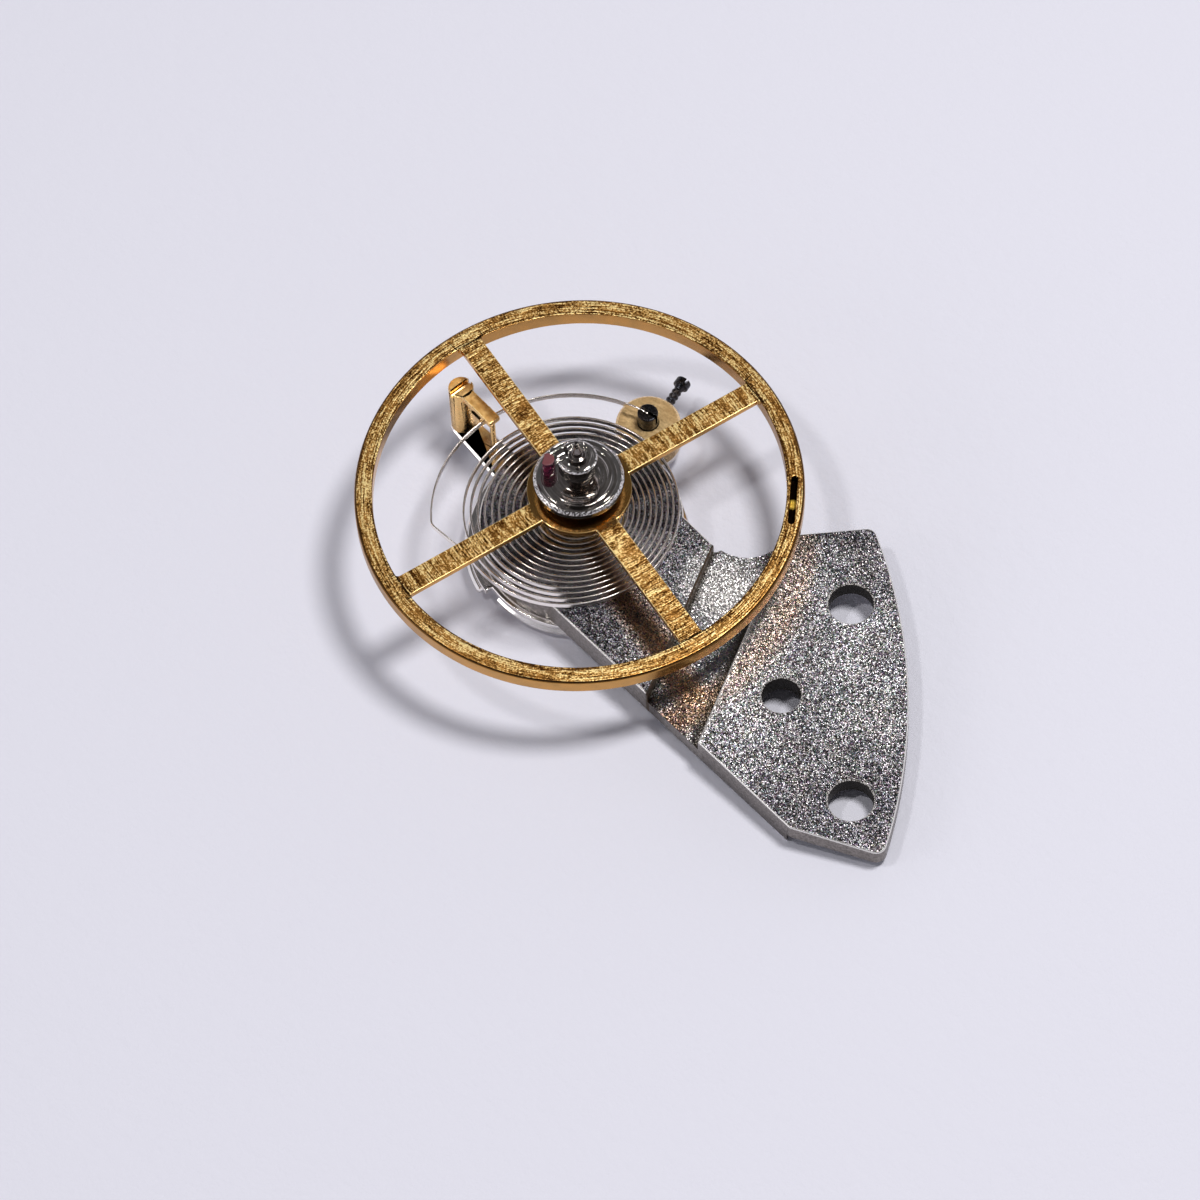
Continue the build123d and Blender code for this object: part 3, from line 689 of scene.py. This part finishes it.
# Staff, rollers and impulse jewel
staff = Settings(
    profile=[
        (0, 1.76), (0.05, 1.76), (0.05, 1.6), (0.11, 1.46), (0.11, 1.32), (0.18, 1.3), (0.18, 1.2),
        (0.11, 1.2), (0.11, 0.24), (0.45, 0.24), (0.45, 0), (0.3, 0), (0.3, -0.15), (0.37, -0.15),
        (0.34, -0.21), (0.2, -0.21), (0.2, -1.04), (0.16, -1.1), (0.16, -1.45), (0.1, -1.58),
        (0.05, -1.66), (0.05, -1.84), (0, -1.84),
    ],
    ease=0.012,
)
axle = turned(eased(staff.profile, staff.ease, 3), 96)
completePiece(axle, "balanceStaffPolished", "balance", staffSteel, "polished_steel", node="balance_staff")

rollers = Settings(
    radius=0.95, top=0.48, bottom=0.24, chamfer=0.06, seat=0.11,
    safetyRadius=0.42, safetyTop=1.24, safetyBottom=0.85, safetyChamfer=0.04,
    recessRadius=0.24, recessFloor=1.2, sleeve=0.17,
    crescentRadius=0.26, crescentDistance=0.456, edge=0.008,
)
jewel = Settings(
    angle=-146.5, distance=0.65, radius=0.15, flat=0.085,
    top=0.92, edge=0.015, fit=0.004,
)


# a circle with a flat on the side away from the staff
def jewelOutline(size, grow=0):
    radius = size.radius + grow
    opening = degrees(acos((size.flat + grow) / radius))
    middle = polar(size.distance, size.angle)
    return arcPoints(middle, radius, size.angle + opening, 360 - 2 * opening, 40)


def makeRollers(size, pin):
    seat, top, bottom, edge = size.seat, size.top, size.bottom, size.edge
    impulse = turned(band(seat, size.radius, top, bottom, size.chamfer), 144)
    pierce(impulse, jewelOutline(pin, pin.fit), bottom, top)
    safetyTop, safetyBottom = size.safetyTop, size.safetyBottom
    section = band(size.recessRadius, size.safetyRadius, safetyTop, safetyBottom, size.safetyChamfer)
    section = [(seat, size.recessFloor), (size.recessRadius, size.recessFloor)] + section[:-1]
    section += [(size.sleeve, safetyBottom), (size.sleeve, top), (seat, top)]
    safety = turned(section, 144)
    crescent = disc(size.crescentRadius, 64, polar(size.crescentDistance, pin.angle))
    carve(safety, prism(crescent, safetyBottom - 0.01, safetyTop + overrun))
    stone = prism(jewelOutline(pin), bottom, pin.top)
    completePieces("balance", [
        (impulse, "impulseRollerPolished", blackPolished, "polished_steel", edge, "impulse_roller"),
        (safety, "safetyRollerPolished", blackPolished, "polished_steel", edge, "safety_roller"),
        (stone, "impulseJewelRuby", ruby, "ruby", pin.edge, "impulse_jewel"),
    ])


makeRollers(rollers, jewel)
print("staff and rollers made")

# Collet and hairspring
collet = Settings(
    radius=0.5, bore=0.2, top=-0.62, bottom=-1.04, slot=0.08, slotAngle=-40, edge=0.02,
)


def makeCollet(size):
    radius, top, bottom = size.radius, size.top, size.bottom
    split = turned(band(size.bore, radius, top, bottom), 96)
    pierce(split, spoke(radius / 2, radius, size.slot, size.slotAngle), bottom, top)
    completePiece(split, "colletTurned", "balance", turnedBrass, "setting_brass", size.edge, node="collet")


makeCollet(collet)

spring = Settings(
    thickness=0.04, height=0.14, middle=-0.92, corner=0.018,
    halfTurns=27, innerRadius=0.515, outerRadius=2.33, lean=0.2, leanAngle=-142.5,
    exitAngle=-103, doglegRadius=0.6, doglegTurn=15, kinkRadius=0.25,
    terminalRadius=2.9, terminalOffset=0.24, terminalAngle=-128,
    studAngle=105.5, degreesPerStep=5.0, straightSteps=6,
)


# where the terminal arc passes the stud: the distance from the staff, and the arc's own angle there
def studOnArc(size):
    centre = Vector(polar(size.terminalOffset, size.terminalAngle))
    toStud = axes(size.studAngle)[0]
    along, across = centre.dot(toStud), centre.x * toStud.y - centre.y * toStud.x
    distance = along + sqrt(size.terminalRadius**2 - across**2)
    fromArc = toStud * distance - centre
    return distance, degrees(atan2(fromArc.y, fromArc.x))


# The strip's middle line is drawn as arcs and one straight, each leaving the last in line with it.
# The half turns grow more at one joint than at the other, so the coil leans to one side.
def springLine(size):
    place = Vector(polar(size.innerRadius, size.leanAngle))
    heading = size.leanAngle - 90
    spots = [(place, heading)]
    marks = {}

    def bend(radius, turn):
        nonlocal place, heading
        side = 1 if turn > 0 else -1
        centre = place + Vector(polar(radius, heading + 90 * side))
        steps = max(2, round(abs(turn) / size.degreesPerStep))
        for step in range(1, steps + 1):
            now = heading + turn * step / steps
            spots.append((centre + Vector(polar(radius, now - 90 * side)), now))
        place, heading = spots[-1]

    growth = (size.outerRadius - size.innerRadius) / size.halfTurns
    leanGrowth = size.lean / (size.halfTurns - 1)
    radius = size.innerRadius
    for halfTurn in range(size.halfTurns):
        bend(radius, -180)
        radius += growth + (-1) ** halfTurn * leanGrowth
        if halfTurn == 0:
            marks["collet"] = len(spots)
    bend(radius, -((size.leanAngle + 180 * size.halfTurns - size.exitAngle) % 360))
    marks["coil"] = len(spots)
    bend(size.doglegRadius, size.doglegTurn)
    ahead = axes(heading)[0]
    centre = Vector(polar(size.terminalOffset, size.terminalAngle))
    base = place + Vector(polar(size.kinkRadius, heading - 90)) - centre
    along = base.dot(ahead)
    across = base.dot(base) - (size.terminalRadius - size.kinkRadius) ** 2
    straight = sqrt(along**2 - across) - along
    for step in range(1, size.straightSteps + 1):
        spots.append((place + ahead * straight * step / size.straightSteps, heading))
    place = spots[-1][0]
    kinkCentre = base + ahead * straight
    terminalStart = degrees(atan2(kinkCentre.y, kinkCentre.x))
    bend(size.kinkRadius, -((heading - (terminalStart - 90)) % 360))
    bend(size.terminalRadius, -((terminalStart - studOnArc(size)[1]) % 360))
    return spots, marks


def makeSpring(size):
    spots, marks = springLine(size)
    halfAcross, halfUp, middle = size.thickness / 2, size.height / 2, size.middle
    corners = [(-halfAcross, -halfUp), (halfAcross, -halfUp), (halfAcross, halfUp), (-halfAcross, halfUp)]
    section = eased(corners, size.corner, 4)
    rings = []
    for spot, heading in spots:
        outward = axes(heading)[1]
        rings.append([(*(spot + outward * across), middle + up) for across, up in section])
    strip = loft(rings)
    completePiece(strip, "hairspringStrip", None, springSteel, "spring_alloy", node="hairspring")
    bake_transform(strip)
    # shares along the strip, from one at the collet to none from the dogleg on, are worked out and not kept
    length = marks["coil"] - marks["collet"]
    [(marks["coil"] - index) / length for index in range(len(spots)) for point in section]


makeSpring(spring)
print("hairspring made")

# Stud, holder, screw and stud carrier
stud = Settings(
    angle=spring.studAngle, distance=studOnArc(spring)[0], slotTurn=studOnArc(spring)[1],
    radius=0.22, top=-0.83, bottom=-1.92, slot=0.06, slotDepth=0.3,
    holderRadius=0.69, holderTop=-1.22, holderBottom=-1.94, holderChamfer=0.06,
    holderHollow=2.18, clearance=0.01,
    screwLevel=-1.63, screwRadius=0.11, screwReach=4.02, grooves=9, grooveDepth=0.022,
    headRadius=0.17, headLength=0.22, screwSlot=0.05, screwSlotTurn=35,
)
carrier = Settings(
    bore=1.35, top=-1.94, thickness=0.15, radius=2.25, wideRadius=2.42, wideAngle=-101, wideSweep=-82,
    gapAngle=-45, gap=0.35, neck=0.8, edge=0.03,
)


# lays an upright turned piece down along a direction, with its foot at start
def layAlong(raw, start, angle):
    lay = Matrix.Rotation(radians(angle), 4, "Z") @ Matrix.Rotation(radians(90), 4, "Y")
    raw.data.transform(Matrix.Translation(start) @ lay)


def makeStud(size):
    angle, postRadius, top, bottom = size.angle, size.radius, size.top, size.bottom
    middle = polar(size.distance, angle)
    post = turned(eased(band(0, postRadius, bottom, top), [0, 0.03, 0.03, 0], 3), 72, middle)
    groove = block(middle, size.slot, 2.4 * postRadius, size.slotTurn)
    carve(post, prism(groove, top - size.slotDepth, top + overrun))

    radius, chamfer, bore = size.holderRadius, size.holderChamfer, postRadius + size.clearance
    holderTop, holderBottom = size.holderTop, size.holderBottom
    section = [(bore, holderTop), (radius - chamfer, holderTop), (radius, holderTop - chamfer)]
    eye = turned(section + [(radius, holderBottom), (bore, holderBottom)], 96, middle)
    foot = (*polar(size.distance + postRadius, angle), size.screwLevel)
    screwRadius = size.screwRadius
    hole = turned(band(0, screwRadius, 0, overrun), 48)
    layAlong(hole, foot, angle)
    carve(eye, hole)
    carve(eye, prism(disc(size.holderHollow, 192), holderBottom - overrun, 0))

    # the shank's thread is a row of fine grooves
    length, grooves = size.screwReach - size.distance - postRadius, size.grooves
    outline = [(0, 0)]
    for index in range(grooves):
        outline.append((screwRadius, length * index / grooves))
        outline.append((screwRadius - size.grooveDepth, length * (index + 0.5) / grooves))
    outline.append((screwRadius, length))
    headRadius, tip = size.headRadius, length + size.headLength
    outline += eased([(headRadius, length), (headRadius, tip), (0, tip)], [0.02, 0.035, 0], 3)
    screw = turned(outline, 64)
    notch = block((0, 0), 1, size.screwSlot, size.screwSlotTurn)
    carve(screw, prism(notch, length + size.headLength / 2, 3 * overrun))
    layAlong(screw, foot, angle)
    completePieces("stud_carrier", [
        (post, "hairspringStudDark", darkSteel, "blued_steel", 0.008, "hairspring_stud"),
        (eye, "studHolderTurned", giltMatt, "polished_gilt", 0.014, "stud_holder"),
        (screw, "studScrewDark", darkSteel, "blued_steel", 0.006, "stud_screw"),
    ])


# a ring with a wide sector, other flat shapes welded to it, and a gap that splits it
def splitRing(size, shapes):
    top, bottom, radius = size.top, size.top - size.thickness, size.radius
    plate = prism(disc(radius, 192), bottom, top)
    for outline in [sector(size.wideRadius, size.wideAngle, size.wideSweep)] + shapes:
        weld(plate, outline, bottom, top)
    pierce(plate, disc(size.bore, 160), bottom, top)
    pierce(plate, spoke(radius, radius, size.gap, size.gapAngle), bottom, top)
    return plate


def makeCarrier(size, post):
    distance, angle = post.distance, post.angle
    eye = disc(post.holderRadius, 96, polar(distance, angle))
    neck = spoke((distance + size.bore) / 2, distance - size.bore, size.neck, angle)
    plate = splitRing(size, [eye, neck])
    names = "studCarrierPolished", "stud_carrier"
    completePiece(plate, *names, ringSteel, "ring_steel", size.edge, 3, "stud_carrier")


makeStud(stud)
makeCarrier(carrier, stud)
print("stud and carrier made")

# Regulator, curb pin and boot
regulator = Settings(
    top=-2.11, thickness=0.18, radius=2.28, wideRadius=2.5, wideAngle=-101, wideSweep=-82,
    bore=1.35, gapAngle=-101, gap=0.35, angle=176.9, rootWidth=0.84, tipWidth=0.56,
    pinRadius=0.06, pinDistance=2.88, pinTop=-0.84, edge=0.05,
)
boot = Settings(
    distance=3.9, radius=0.27, top=-0.66, lipReach=2.78, lipWidth=0.3, lipBottom=-0.82,
    innerFace=3.13, fingerThickness=0.18, fingerBottom=-1.25,
    slotWidth=0.1, slotDepth=0.14, shank=0.18, clearance=0.02, edge=0.035,
)


def makeRegulator(size, post):
    top, bottom, angle = size.top, size.top - size.thickness, size.angle
    along, across = axes(angle)
    root = (size.bore + size.radius) / 2
    corners = [along * root + across * side * size.rootWidth / 2 for side in (1, -1)]
    tip = arcPoints(along * post.distance, size.tipWidth / 2, angle - 90, 180, 32)
    plate = splitRing(size, [[tuple(corner) for corner in corners] + tip])
    pierce(plate, disc(post.shank + post.clearance, 48, polar(post.distance, angle)), bottom, top)
    pinPlace = polar(size.pinDistance, angle)
    pierce(plate, disc(size.pinRadius, 32, pinPlace), bottom, top)
    completePiece(plate, "regulatorPolished", "regulator", ringSteel, "ring_steel", size.edge, 1, "regulator")
    pin = turned(eased(band(0, size.pinRadius, bottom, size.pinTop), [0, 0.01, 0.03, 0], 4), 48, pinPlace)
    completePiece(pin, "curbPinGilt", "regulator", giltPolished, "polished_gilt", node="curb_pin")


def makeBoot(size, arm):
    angle, bottom, top, lipBottom = arm.angle, arm.top, size.top, size.lipBottom
    middle = polar(size.distance, angle)
    body = prism(disc(size.radius, 72, middle), bottom, top)
    reach, thickness = size.distance - size.lipReach, size.fingerThickness
    weld(body, spoke(size.lipReach + reach / 2, reach, size.lipWidth, angle), lipBottom, top)
    finger = spoke(size.innerFace + thickness / 2, thickness, size.lipWidth, angle)
    weld(body, finger, size.fingerBottom, lipBottom + 0.05)
    slot = block(middle, size.slotWidth, 2.6 * size.radius, angle)
    carve(body, prism(slot, top - size.slotDepth, top + overrun))
    weld(body, disc(size.shank, 48, middle), bottom - arm.thickness, bottom + 0.1)
    finish, slot = giltPolished, "polished_gilt"
    completePiece(body, "regulatorBootGilt", "boot", finish, slot, size.edge, node="regulator_boot")


makeRegulator(regulator, boot)
makeBoot(boot, regulator)
print("regulator and boot made")

# Cock
cock = Settings(
    top=-1.23, thickness=0.69, edge=0.05, holeEdge=0.03,
    calibreCentre=(-1.05, -7.33), calibreRadius=12.8, ledgeRadius=10.7, ledgeThickness=0.39,
    endRadius=2.15, upperEndY=1.57, lowerEndY=-1.9, lowerCorner=(8.35, -2.07), lowerEase=0.12,
    outerLowX=10.17, outerHighX=4.47, cornerEase=0.22,
    notchFoot=(3.5, 3.02), notchCentre=(2.36, 2.56), notchRadius=0.9, notchStart=-82,
    notchSweep=72, notchEase=0.1, armCorner=(2.44, 1.52),
    channelAngle=25.1, channelDistance=3.52, channelWidth=1.38, channelLength=8.6,
    channelDepth=0.3, channelLip=0.035,
    holeAxis=45.3, holeDistance=11.84, holeSpread=11.4, holeRadius=0.475,
    screwHole=(6.00, 0.0), screwHoleRadius=0.41, screwRecess=0.72, screwRecessDepth=0.22,
    blockRadius=0.9,
)


def cockOutline(size):
    centreX, centreY = size.calibreCentre

    def onCalibre(x):
        return x, centreY + sqrt(size.calibreRadius**2 - (x - centreX) ** 2)

    def calibreAngle(point):
        return degrees(atan2(point[1] - centreY, point[0] - centreX))

    end = size.endRadius
    upper = degrees(asin(size.upperEndY / end))
    lower = 360 + degrees(asin(size.lowerEndY / end))
    outline = [(point, 0) for point in arcPoints((0, 0), end, upper, lower - upper, 72)]
    outline.append((size.lowerCorner, size.lowerEase))
    low, high = calibreAngle(onCalibre(size.outerLowX)), calibreAngle(onCalibre(size.outerHighX))
    edge = arcPoints(size.calibreCentre, size.calibreRadius, low, high - low, 40)
    outline.append((edge[0], size.cornerEase))
    # the arc starts and ends a little inside its corners, so that they can be eased
    outline += [(point, 0) for point in edge[3:-3]]
    outline.append((edge[-1], size.cornerEase))
    outline.append((size.notchFoot, size.notchEase))
    notch = arcPoints(size.notchCentre, size.notchRadius, size.notchStart, size.notchSweep, 16)
    outline += [(point, 0) for point in notch[::-1]]
    outline.append((size.armCorner, size.notchEase))
    return eased([point for point, ease in outline], [ease for point, ease in outline], 6)


def makeCock(size):
    top, bottom = size.top, size.top - size.thickness
    plate = slab(cockOutline(size), bottom, top, size.edge)
    # the channel's cutter is drawn across the channel and then swept along it
    half, length = size.channelWidth / 2, size.channelLength
    lip, depth = size.channelLip, size.channelDepth
    section = [(-half, -depth), (half, -depth), (half, -lip)]
    section += [(half + 1 + lip, 1), (-half - 1 - lip, 1), (-half, -lip)]
    channel = prism(section, -length / 2, length / 2)
    across = Vector((*polar(1, size.channelAngle), 0))
    sweep = Matrix((across, (0, 0, 1), across.cross((0, 0, 1)))).transposed().to_4x4()
    middle = (*polar(size.channelDistance, size.channelAngle), top)
    channel.data.transform(Matrix.Translation(middle) @ sweep)
    carve(plate, channel)
    calibre, calibreRadius = size.calibreCentre, size.calibreRadius + overrun
    ledge = band(size.ledgeRadius, calibreRadius, bottom - overrun, top - size.ledgeThickness)
    carve(plate, turned(ledge, 360, calibre))
    holes = []
    for side in (-1, 1):
        fromCalibre = Vector(polar(size.holeDistance, size.holeAxis + side * size.holeSpread))
        holes.append((Vector(calibre) + fromCalibre, size.holeRadius))
    holes += [(size.screwHole, size.screwHoleRadius), ((0, 0), size.blockRadius)]
    rounding = size.holeEdge
    for middle, radius in holes:
        cutter = [(0, bottom - overrun), (radius, bottom - overrun), (radius, top - rounding)]
        cutter += [(radius + rounding, top), (radius + rounding, top + overrun), (0, top + overrun)]
        carve(plate, turned(cutter, 96, middle))
    recess = disc(size.screwRecess, 96, size.screwHole)
    carve(plate, prism(recess, bottom - overrun, bottom + size.screwRecessDepth))
    completePiece(plate, "balanceCockBlasted", "cock", blasted, "blasted_nickel", node="balance_cock")
    # the bored walls are turned, and their finish is painted dark as the shade inside the holes
    plate.data.materials.append(shadedBoreNickel)
    for face in plate.data.polygons:
        spot = (face.center / millimetre).xy
        if any((Vector(middle) - spot).length < radius + rounding * 0.9 for middle, radius in holes[:3]):
            face.material_index = 1


makeCock(cock)
print("cock made")

# Shock block, setting, jewels and shock spring
shock = Settings(
    blockHole=0.24, blockRadius=0.9, bossRadius=1.33, flangeRadius=1.45, flangeThickness=0.05,
    cockTop=-1.23, cockBottom=-1.92, bottom=-2.36, springSeatRadius=0.98, springSeat=-2.18,
    seatRadius=0.74, seatTop=-1.6, settingRadius=0.72, settingBottom=-2.06, settingEye=0.3,
    jewelRadius=0.42, jewelTop=-1.66, jewelBottom=-1.82, jewelBore=0.06,
    capRadius=0.6, capTop=-1.86, capChamfer=0.06,
    springRadius=0.96, springWidth=0.14, springThickness=0.06, springOpening=0.5, springEdge=0.01,
    tongueAngles=(60, 120), tongueWidth=0.13, tongueEnd=0.28,
    tongueCuts=(0.3, 0.38, 0.46, 0.53, 0.56, 0.59, 0.62, 0.65, 0.68), bendRadii=(0.65, 0.8),
)


def makeShock(size):
    bottom, flangeTop, seatTop = size.bottom, size.bottom + size.flangeThickness, size.seatTop
    springSeat, seatRadius, springSeatRadius = size.springSeat, size.seatRadius, size.springSeatRadius
    housing = [
        (size.blockHole, size.cockTop), (size.blockRadius, size.cockTop),
        (size.blockRadius, size.cockBottom), (size.bossRadius, size.cockBottom),
        (size.bossRadius, flangeTop), (size.flangeRadius, flangeTop), (size.flangeRadius, bottom),
        (springSeatRadius, bottom), (springSeatRadius, springSeat), (seatRadius, springSeat),
        (seatRadius, seatTop), (size.blockHole, seatTop),
    ]
    eye, radius, low = size.settingEye, size.settingRadius, size.settingBottom
    capRadius, capTop, chamfer = size.capRadius, size.capTop, size.capChamfer
    jewelRadius, jewelTop = size.jewelRadius, size.jewelTop
    chaton = [(eye, seatTop), (radius, seatTop), (radius, low), (capRadius, low), (capRadius, capTop)]
    chaton += [(jewelRadius, capTop), (jewelRadius, jewelTop), (eye, jewelTop)]
    holeJewel = band(size.jewelBore, jewelRadius, jewelTop, size.jewelBottom)
    capJewel = [(0, capTop), (capRadius, capTop), (capRadius, springSeat + chamfer)]
    capJewel += [(capRadius - chamfer, springSeat), (0, springSeat)]
    capEase = [0, 0.01, 0.02, 0.02, 0]
    made = [
        (housing, 0.015, 2, 144, "shockBlockTurned", "cock", turnedBrass, "setting_brass", "shock_block"),
        (chaton, 0.02, 2, 96, "shockSettingTurned", "setting", turnedBrass, "setting_brass", "shock_setting"),
        (holeJewel, 0.03, 3, 96, "holeJewelRuby", "setting", ruby, "ruby", "hole_jewel"),
        (capJewel, capEase, 3, 96, "capJewelRuby", "setting", ruby, "ruby", "cap_jewel"),
    ]
    for outline, ease, easeSteps, steps, name, body, material, slot, node in made:
        completePiece(turned(eased(outline, ease, easeSteps), steps), name, body, material, slot, node=node)


def makeShockSpring(size):
    low, high, radius = size.springSeat - size.springThickness, size.springSeat, size.springRadius
    leaf = prism(disc(radius, 128), low, high)
    pierce(leaf, disc(radius - size.springWidth, 128), low, high)
    pierce(leaf, block((0, -radius), size.springOpening, radius, 0), low, high)
    root, end = radius - size.springWidth / 2, size.tongueEnd
    for angle in size.tongueAngles:
        weld(leaf, spoke((root + end) / 2, root - end, size.tongueWidth, angle), low, high)
    crossCut(leaf, size.tongueCuts)
    finish, slot = giltPolished, "polished_gilt"
    completePiece(leaf, "shockSpringGilt", None, finish, slot, size.springEdge, node="shock_spring")
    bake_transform(leaf)


makeShock(shock)
makeShockSpring(shock)
print("shock setting made")

# Sheet, lights and camera
stage = Settings(
    height=-4.1434, slopes=(0.06972, 0.01591), reach=300,  # under the staff, and along X and Y
    sheet=(0.74, 0.74, 0.825), sheetMottle=(0.73, 0.725, 0.82),
    horizon=(0.8, 0.795, 0.87), zenith=(0.1, 0.1, 0.105),
    horizonTop=0.28, darkFrom=0.62, worldStrength=1,
)


def sheetFinish(size):
    finish = newFinish("sheetPale")
    spot = finish.place()
    fibre = finish.noise(spot, 2.2, 4, 0.6)
    mottle = finish.noise(spot, 0.05, 2)
    return finish.shader({
        "Base Color": finish.blend(mottle.span(0.3, 0.7) * 0.05, size.sheet, size.sheetMottle),
        "Roughness": 0.9,
        "Specular IOR Level": 0.1,
        "Normal": finish.bump(fibre, 0.03),
    })


def makeSheet(size):
    shape = bmesh.new()
    slopeX, slopeY = size.slopes
    corners = []
    for x, y in ((-1, -1), (1, -1), (1, 1), (-1, 1)):
        x, y = x * size.reach, y * size.reach
        corners.append(shape.verts.new((x, y, size.height + slopeX * x + slopeY * y)))
    shape.faces.new(corners)
    sheet = rawObject("sheet", shape)
    sheet.data.transform(Matrix.Scale(millimetre, 4))
    sheet.data.materials.append(sheetFinish(size))


makeSheet(stage)

view = Settings(
    lens=211.6, sensor=36, distance=146.9, elevation=59.17, turn=-49.4, roll=-3.5,
    wheelAt=(579.3, 487.9), imageSize=1200,
)


# turns a direction seen from the camera's side (right, away, up) into the object's own axes
def fromView(x, y, z):
    turn = radians(view.turn)
    return Vector((cos(turn) * x + sin(turn) * y, -sin(turn) * x + cos(turn) * y, z))


def makeCamera(size):
    elevation, roll = radians(size.elevation), radians(size.roll)
    ahead = fromView(0, cos(elevation), -sin(elevation))
    level = fromView(1, 0, 0)
    rise = level.cross(ahead)
    right = level * cos(roll) + rise * sin(roll)
    up = rise * cos(roll) - level * sin(roll)
    perPixel = size.distance * size.sensor / size.lens / size.imageSize
    offX = (size.wheelAt[0] - size.imageSize / 2) * perPixel
    offY = -(size.wheelAt[1] - size.imageSize / 2) * perPixel
    place = Vector((0, 0, rimTop)) - right * offX - up * offY - ahead * size.distance
    lens = bpy.data.cameras.new("camera")
    lens.lens, lens.sensor_width = size.lens, size.sensor
    lens.clip_start, lens.clip_end = 0.001, 10
    camera = addObject("camera", lens)
    turn = Matrix((right, up, -ahead)).transposed().to_4x4()
    camera.matrix_world = Matrix.Translation(place * millimetre) @ turn
    bpy.context.scene.camera = camera


makeCamera(view)

# toward is (right, away, up) as the camera stands; sizes and distances in millimetres
lamps = {
    "lampHigh": {"toward": (0.29, 0.07, 1), "distance": 150, "size": 36, "power": 0.15},
    "lampLeft": {"toward": (-0.45, 0, 1), "distance": 150, "size": 15, "power": 0.035},
    "cardLeft": {"toward": (-0.93, -0.2, 0.33), "distance": 150, "size": 60, "power": 0.016},
}
lampColour = (1, 0.985, 0.965)
lampTarget = (2, 0, -3)


def makeLamp(name, size):
    light = bpy.data.lights.new(name, "AREA")
    light.shape, light.size = "DISK", size.size * millimetre
    light.energy, light.color = size.power, lampColour
    lamp = addObject(name, light)
    toward = fromView(*size.toward).normalized()
    place = (toward * size.distance + Vector(lampTarget)) * millimetre
    turn = toward.to_track_quat("Z", "Y").to_matrix().to_4x4()
    lamp.matrix_world = Matrix.Translation(place) @ turn


for name, size in lamps.items():
    makeLamp(name, Settings(size))


# a pale surround at the level of the sheet, darker overhead, as in a small studio
def makeSurround(size):
    world = bpy.data.worlds.new("surround")
    bpy.context.scene.world = world
    finish = Finish(world)
    height = finish.split(finish.node("TexCoord", output="Generated"))[2]
    rise = height.span(size.horizonTop, size.darkFrom)
    colour = finish.blend(rise, size.horizon, size.zenith)
    light = finish.node("Background", None, {"Color": colour, "Strength": size.worldStrength})
    finish.node("OutputWorld", None, {"Surface": light})


makeSurround(stage)
bpy.context.scene.view_settings.view_transform = "Standard"
print("stage made")
